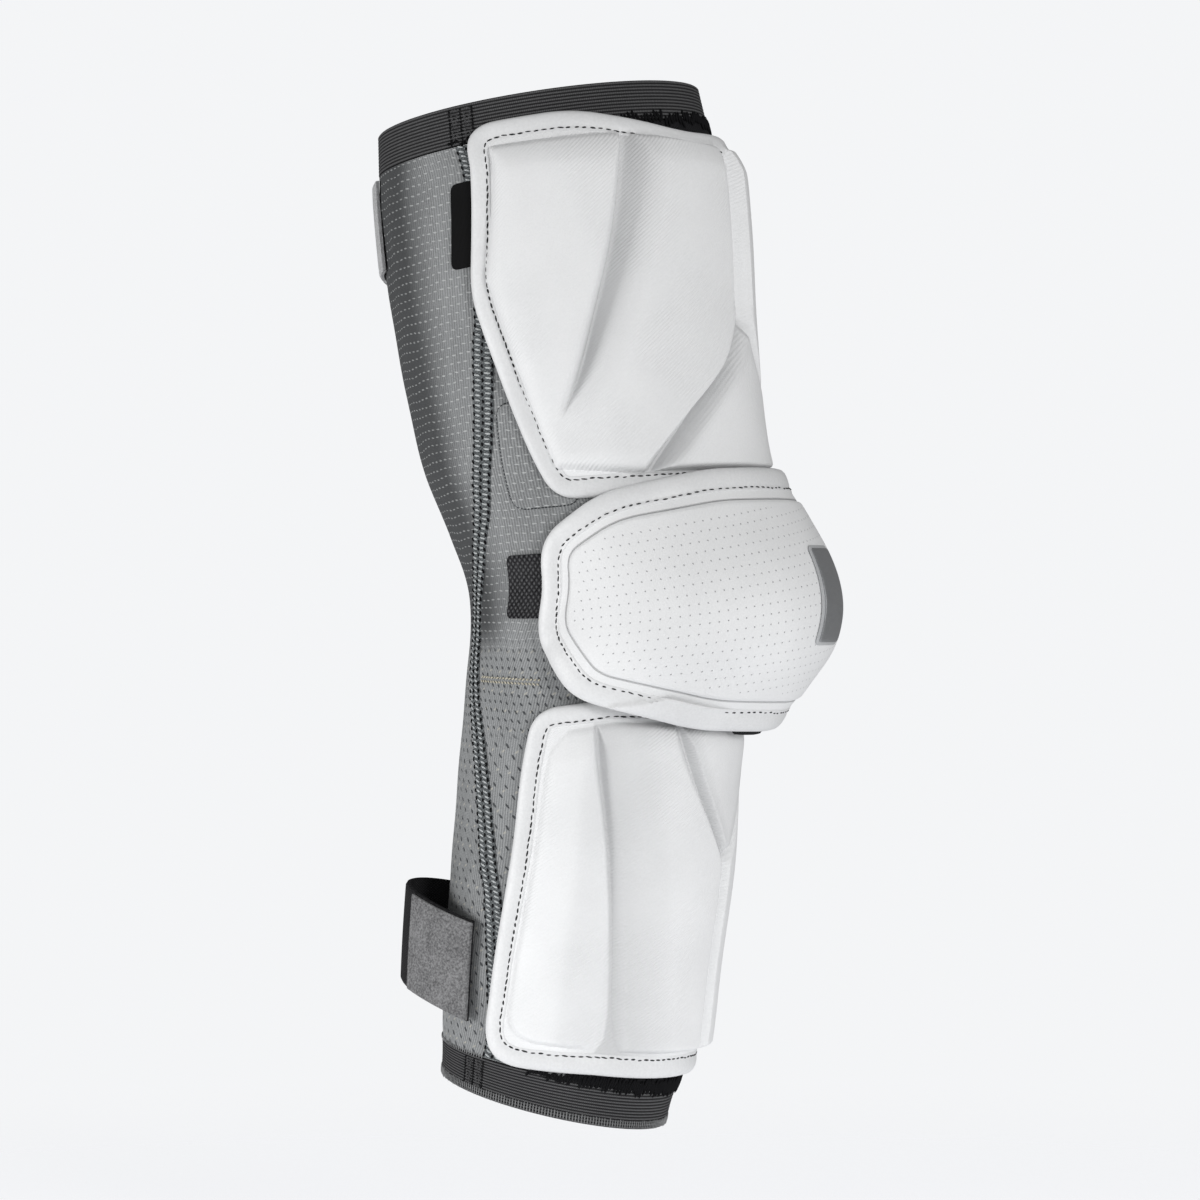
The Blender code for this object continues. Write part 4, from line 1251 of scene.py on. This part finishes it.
def addWebbing(name, side, node):
    def cell(x, y, skin):
        around = between(x, webbing["start"], webbing["end"])
        height, half = tabHeight(webbing, y, webbing["end"] - around)
        drop = webbing["edgeDrop"] * roundDrop((1.0 - np.abs(y)) * half)
        level = webbing["levels"][1] - drop if skin else np.full(len(x), webbing["levels"][0])
        return side * around, height, level

    bentSheet(name, webbing["grid"], cell, finishes["webbing"], replaces=(node,), slot="black_webbing")


bothSides = {"near": 1.0, "far": -1.0}
for name, side in bothSides.items():
    addWebbing("webbing_tab_" + name, side, "elbow_webbing_" + name)

tag = {"top": 144.5, "bottom": 115.5, "width": 8.0, "levels": (0.4, 1.3), "gap": 0.6, "corner": 2.4}


def addTag():
    guide, marks = halfOutline(bicep)
    side = insetHalf(guide, -tag["gap"])[marks[0]:marks[1] + 1]
    side = side[np.argsort(side[:, 1])]

    def cell(x, y, skin):
        across = between(x, 0.0, tag["width"])
        height, _ = tabHeight(tag, y, tag["width"] - across)
        around = np.interp(height, side[:, 1], side[:, 0]) + across
        return around, height, np.full(len(x), tag["levels"][1 if skin else 0])

    bentSheet("edge_tag", (20, 40), cell, finishes["tag"], replaces=("side_tag",), slot="black_tag")


addTag()


# Flat seams down both sides of the sleeve, with their threads.
ladder = {
    # height and distance round of the seam's middle
    "route": (
        (-162.0, 74.5), (-130.0, 79.0), (-106.0, 84.1), (-92.7, 88.8), (-68.7, 94.6),
        (-51.4, 100.5), (-33.6, 109.5), (-15.0, 117.0), (0.0, 120.5), (17.0, 113.5),
        (36.0, 105.0), (57.0, 99.0), (88.0, 96.0), (103.0, 94.5), (137.6, 95.0), (157.0, 95.0),
    ),
    "width": 8.0,
    "rise": 0.35,
    "threadRise": 0.15,
    "grid": (16, 260),
    # across the seam, pitch, slant across, length, thickness, thread
    "columns": (
        (-3.6, 2.6, 0.15, 1.7, 0.9, "blackThread"),
        (-2.0, 1.7, 0.8, 2.6, 0.72, "seamThread"),
        (0.1, 2.4, 0.1, 1.5, 0.8, "blackThread"),
        (2.0, 1.7, 0.75, 2.4, 0.72, "seamThread"),
        (3.7, 2.7, 0.2, 1.6, 0.7, "blackThread"),
    ),
}


def seamRoute(height):
    return readRows(ladder["route"], height)[0]


def addLadderSeams():
    low, high = ladder["route"][0][0], ladder["route"][-1][0]
    for name, side in bothSides.items():
        def cell(x, y, skin):
            height = between(y, low, high)
            edge = clamp((1.0 - np.abs(x)) / 0.12)
            level = (ladder["rise"] - 0.2 * (1.0 - edge)) if skin else np.full(len(x), 0.02)
            return side * (seamRoute(height) + 0.5 * ladder["width"] * x), height, level

        bentSheet("seam_tape_" + name, ladder["grid"], cell, finishes["seamTape"], slot="grey_knit")
        for thread in ("blackThread", "seamThread"):
            beads = []
            for across, pitch, slant, length, thickness, finish in ladder["columns"]:
                if finish != thread:
                    continue
                height = np.arange(low + 1.0, high, pitch)
                sway = 0.15 * np.sin(1.7 * height) + 0.1 * np.sin(5.1 * height + 2.0)
                around = side * (seamRoute(height) + across + sway)
                for place, at in zip(around, height):
                    level = ladder["rise"] + ladder["threadRise"]
                    here, along, up = surfaceFrame(place, at, level, side * slant, 1.0 - abs(slant))
                    beads.append((here, along, up, length, thickness))
            label = "seam_" + thread[:-6] + "_stitches_" + name
            layThreads(label, beads, finishes[thread], sides=5, slot="grey_knit")


addLadderSeams()


def threadRow(name, places, finish, level, slot, seed=1.0):
    # places: around, height, direction across, direction up, length, thickness
    beads = []
    for (around, height, across, up, length, thickness), change in zip(places, scatter(seed, len(places))):
        here, along, outward = surfaceFrame(around, height, level, across, up)
        beads.append((here, along, outward, length * (0.8 + 0.4 * change), thickness))
    return layThreads(name, beads, finishes[finish], sides=5, slot=slot)


trim = {
    # name, half angle, height, pitch, length, thickness, unevenness, level, seed
    "overlocks": (
        ("top_overlock", 104.0, 158.0, 1.5, 4.4, 1.2, 2.6, 0.45, 1.0),
        ("bottom_overlock", 84.0, -162.8, 0.9, 6.4, 1.15, 1.6, 0.55, 2.0),
    ),
    # name, height, pitch, length, thickness, distance kept from the front line, slot
    "hems": (
        ("cuff_hem_loops", -174.9, 1.05, 3.2, 0.5, 0.0, "cuff_elastic"),
        ("sleeve_hem", -162.2, 1.25, 1.5, 0.55, 78.0, "grey_knit"),
    ),
    "hemLevel": 0.25,
    # cuff, angle, lowest and highest point, pitch
    "cuffSeams": (
        ("upper", 98.0, 158.2, 171.0, 1.45),
        ("lower", 114.5, -173.0, -163.0, 1.25),
    ),
    "loopColumns": ((-3.2, 0.8), (-1.6, -0.8), (1.6, 0.8), (3.2, -0.8)),  # place across and slant
    "barColumns": (-4.3, 0.0, 4.3),
}


def addTrim():
    for name, angle, height, pitch, length, thickness, uneven, level, seed in trim["overlocks"]:
        reach = math.radians(angle) * float(meanRadius(height))
        around = np.arange(-reach, reach, pitch)
        lean = 0.5 * (scatter(seed + 5.0, len(around)) - 0.5)
        fall = uneven * (scatter(seed + 9.0, len(around)) - 0.5)
        size = length * np.sqrt(np.maximum(1.0 - (around / reach) ** 2, 0.1))
        places = [
            (place, height + drop, slant, 1.0, whole, thickness)
            for place, slant, drop, whole in zip(around, lean, fall, size)
        ]
        threadRow(name, places, "blackThread", level, "black_backing", seed)
    for name, height, pitch, length, thickness, clear, slot in trim["hems"]:
        whole = math.tau * float(meanRadius(height))
        around = np.arange(0.0, whole - 0.5 * pitch, pitch)
        around = around[(around >= clear) & (around <= whole - clear)]
        places = [(place, height, 0.12, 1.0, length, thickness) for place in around]
        threadRow(name, places, "greyThread", trim["hemLevel"], slot, 3.0)
    for name, angle, low, high, pitch in trim["cuffSeams"]:
        light, dark = [], []
        for side in (1.0, -1.0):
            height = np.arange(low, high, pitch)
            middle = side * math.radians(angle) * meanRadius(height)
            for around, at in zip(middle, height):
                for column, slant in trim["loopColumns"]:
                    light.append((around + column, at, slant, 0.6, 1.7, 0.5))
                for column in trim["barColumns"]:
                    dark.append((around + column, at, 0.0, 1.0, 1.3, 0.7))
        threadRow(name + "_cuff_seam_loops", light, "cuffThread", cuffs["level"] + 0.15, "cuff_elastic", 4.0)
        threadRow(name + "_cuff_seam_bars", dark, "blackThread", cuffs["level"] + 0.1, "cuff_elastic", 6.0)


addTrim()

# A raised panel on each side of the knit, and a row of cream loops below it.
sidePanel = {
    "outline": ((0.0, 67.5, 0.0), (12.0, 67.5, 5.0), (12.0, 31.0, 6.0), (0.0, 31.0, 0.0)),
    "corners": (1, 2),
    "middle": 80.8,
    "rise": 0.7,
    "grid": (50, 70),
    "edge": 0.1,
    "welt": {"step": 1.25, "length": 1.0, "thickness": 0.55, "level": 0.15},
    "loops": {
        "height": -30.0, "start": 78.0, "end": 106.5, "pitch": 1.5,
        "length": 1.3, "thickness": 0.65, "level": 0.2,
        "rows": ((0.0, 0.5), (1.5, -0.5)),  # lift and slant
    },
}


def addSidePanels():
    place = outlinePlace(sidePanel, 0.0)
    for name, side in bothSides.items():
        def cell(x, y, skin):
            around, height = place(x, y)
            rise = sidePanel["rise"] * (1.0 - roundDrop(fromRim(x, y) / sidePanel["edge"]))
            return side * (sidePanel["middle"] + around), height, rise if skin else np.full(len(x), -0.1)

        bentSheet(
            "side_panel_" + name, sidePanel["grid"], cell, finishes["knit"],
            attribute=("turn", turnFromBack), slot="grey_knit",
        )
        welt = sidePanel["welt"]
        outline, _ = wholeOutline(sidePanel, welt["step"])
        run = np.roll(outline, -1, 0) - outline
        places = [
            (side * (sidePanel["middle"] + at), height, side * across, up, welt["length"], welt["thickness"])
            for (at, height), (across, up) in zip(outline, run)
        ]
        threadRow("panel_welt_" + name, places, "seamEdge", welt["level"], "grey_knit", 9.0)
        row = sidePanel["loops"]
        around = np.arange(row["start"], row["end"], row["pitch"])
        places = [
            (side * spot, row["height"] + lift, 0.8, slant, row["length"], row["thickness"])
            for spot in around for lift, slant in row["rows"]
        ]
        threadRow("cream_loops_" + name, places, "creamThread", row["level"], "grey_knit", 7.0)


addSidePanels()


# The stage: pale floor, soft lights and the camera.
stage = {
    "backColour": (0.905, 0.913, 0.926),
    "ambient": 0.19,
    "floorHeight": -0.26,
    "floorRadius": 3.0,
    "floorGlow": 0.72,
    "azimuth": -68.0,
    "distance": 1.6,
    "aim": (-6.34, -0.70),
    "focus": 136.2,
    # name, turn from the camera's side, height angle, distance, size, power
    "lights": (
        ("left softbox", -72.0, -4.0, 1.1, 0.5, 7.4),
        ("right softbox", 70.0, 2.0, 1.1, 0.5, 1.8),
        ("top softbox", 0.0, 60.0, 1.2, 0.6, 1.1),
        ("front fill", 24.0, 6.0, 2.2, 0.5, 20.8),
    ),
}


def direction(azimuth, elevation):
    turn, rise = math.radians(azimuth), math.radians(elevation)
    return Vector((math.sin(turn) * math.cos(rise), -math.cos(turn) * math.cos(rise), math.sin(rise)))


def addStage():
    bm = bmesh.new()
    place = Matrix.Translation((0.0, 0.0, stage["floorHeight"]))
    bmesh.ops.create_circle(bm, cap_ends=True, segments=96, radius=stage["floorRadius"], matrix=place)
    mesh = bpy.data.meshes.new("floor")
    bm.to_mesh(mesh)
    bm.free()
    floor = addObject("floor", mesh)
    material = bpy.data.materials.new("pale floor")
    material.use_nodes = True
    tree = material.node_tree
    shader = tree.nodes["Principled BSDF"]
    shader.inputs["Base Color"].default_value = (0.55, 0.555, 0.56, 1.0)
    shader.inputs["Roughness"].default_value = 0.9
    shader.inputs["Emission Color"].default_value = (0.96, 0.97, 1.0, 1.0)
    shader.inputs["Emission Strength"].default_value = stage["floorGlow"]
    spot = tree.nodes.new("ShaderNodeTexCoord")
    length = tree.nodes.new("ShaderNodeVectorMath")
    length.operation = "LENGTH"
    tree.links.new(spot.outputs["Object"], length.inputs[0])
    tree.links.new(ramp(tree, length.outputs["Value"], 0.3, 0.9, 1.0, 0.0), shader.inputs["Alpha"])
    mesh.materials.append(material)
    world = bpy.data.worlds.new("studio")
    bpy.context.scene.world = world
    world.use_nodes = True
    tree = world.node_tree
    seen = tree.nodes["Background"]
    seen.inputs["Color"].default_value = (*stage["backColour"], 1.0)
    seen.inputs["Strength"].default_value = 1.0
    soft = tree.nodes.new("ShaderNodeBackground")
    soft.inputs["Color"].default_value = (1.0, 1.0, 1.0, 1.0)
    soft.inputs["Strength"].default_value = stage["ambient"]
    path = tree.nodes.new("ShaderNodeLightPath")
    mix = tree.nodes.new("ShaderNodeMixShader")
    tree.links.new(path.outputs["Is Camera Ray"], mix.inputs[0])
    tree.links.new(soft.outputs[0], mix.inputs[1])
    tree.links.new(seen.outputs[0], mix.inputs[2])
    tree.links.new(mix.outputs[0], tree.nodes["World Output"].inputs["Surface"])
    for name, turn, rise, distance, size, power in stage["lights"]:
        light = bpy.data.lights.new(name, "AREA")
        light.shape = "SQUARE"
        light.size = size
        light.energy = power
        lamp = addObject(name, light)
        towards = direction(stage["azimuth"] + turn, rise)
        lamp.location = towards * distance
        lamp.rotation_mode = "QUATERNION"
        lamp.rotation_quaternion = towards.to_track_quat("Z", "Y")
    bpy.context.scene.view_settings.view_transform = "Standard"


def addCamera():
    back = direction(stage["azimuth"], 0.0)
    right = -direction(stage["azimuth"] - 90.0, 0.0)
    aim = (right * stage["aim"][0] + Vector((0.0, 0.0, stage["aim"][1]))) * millimetre
    data = bpy.data.cameras.new("camera")
    data.lens = stage["focus"]
    data.sensor_width = 36.0
    data.clip_start = 0.05
    data.clip_end = 20.0
    camera = addObject("camera", data)
    camera.location = aim + back * stage["distance"]
    camera.rotation_mode = "QUATERNION"
    camera.rotation_quaternion = (-back).to_track_quat("-Z", "Y")
    bpy.context.scene.camera = camera


addStage()
addCamera()
print("stage set")
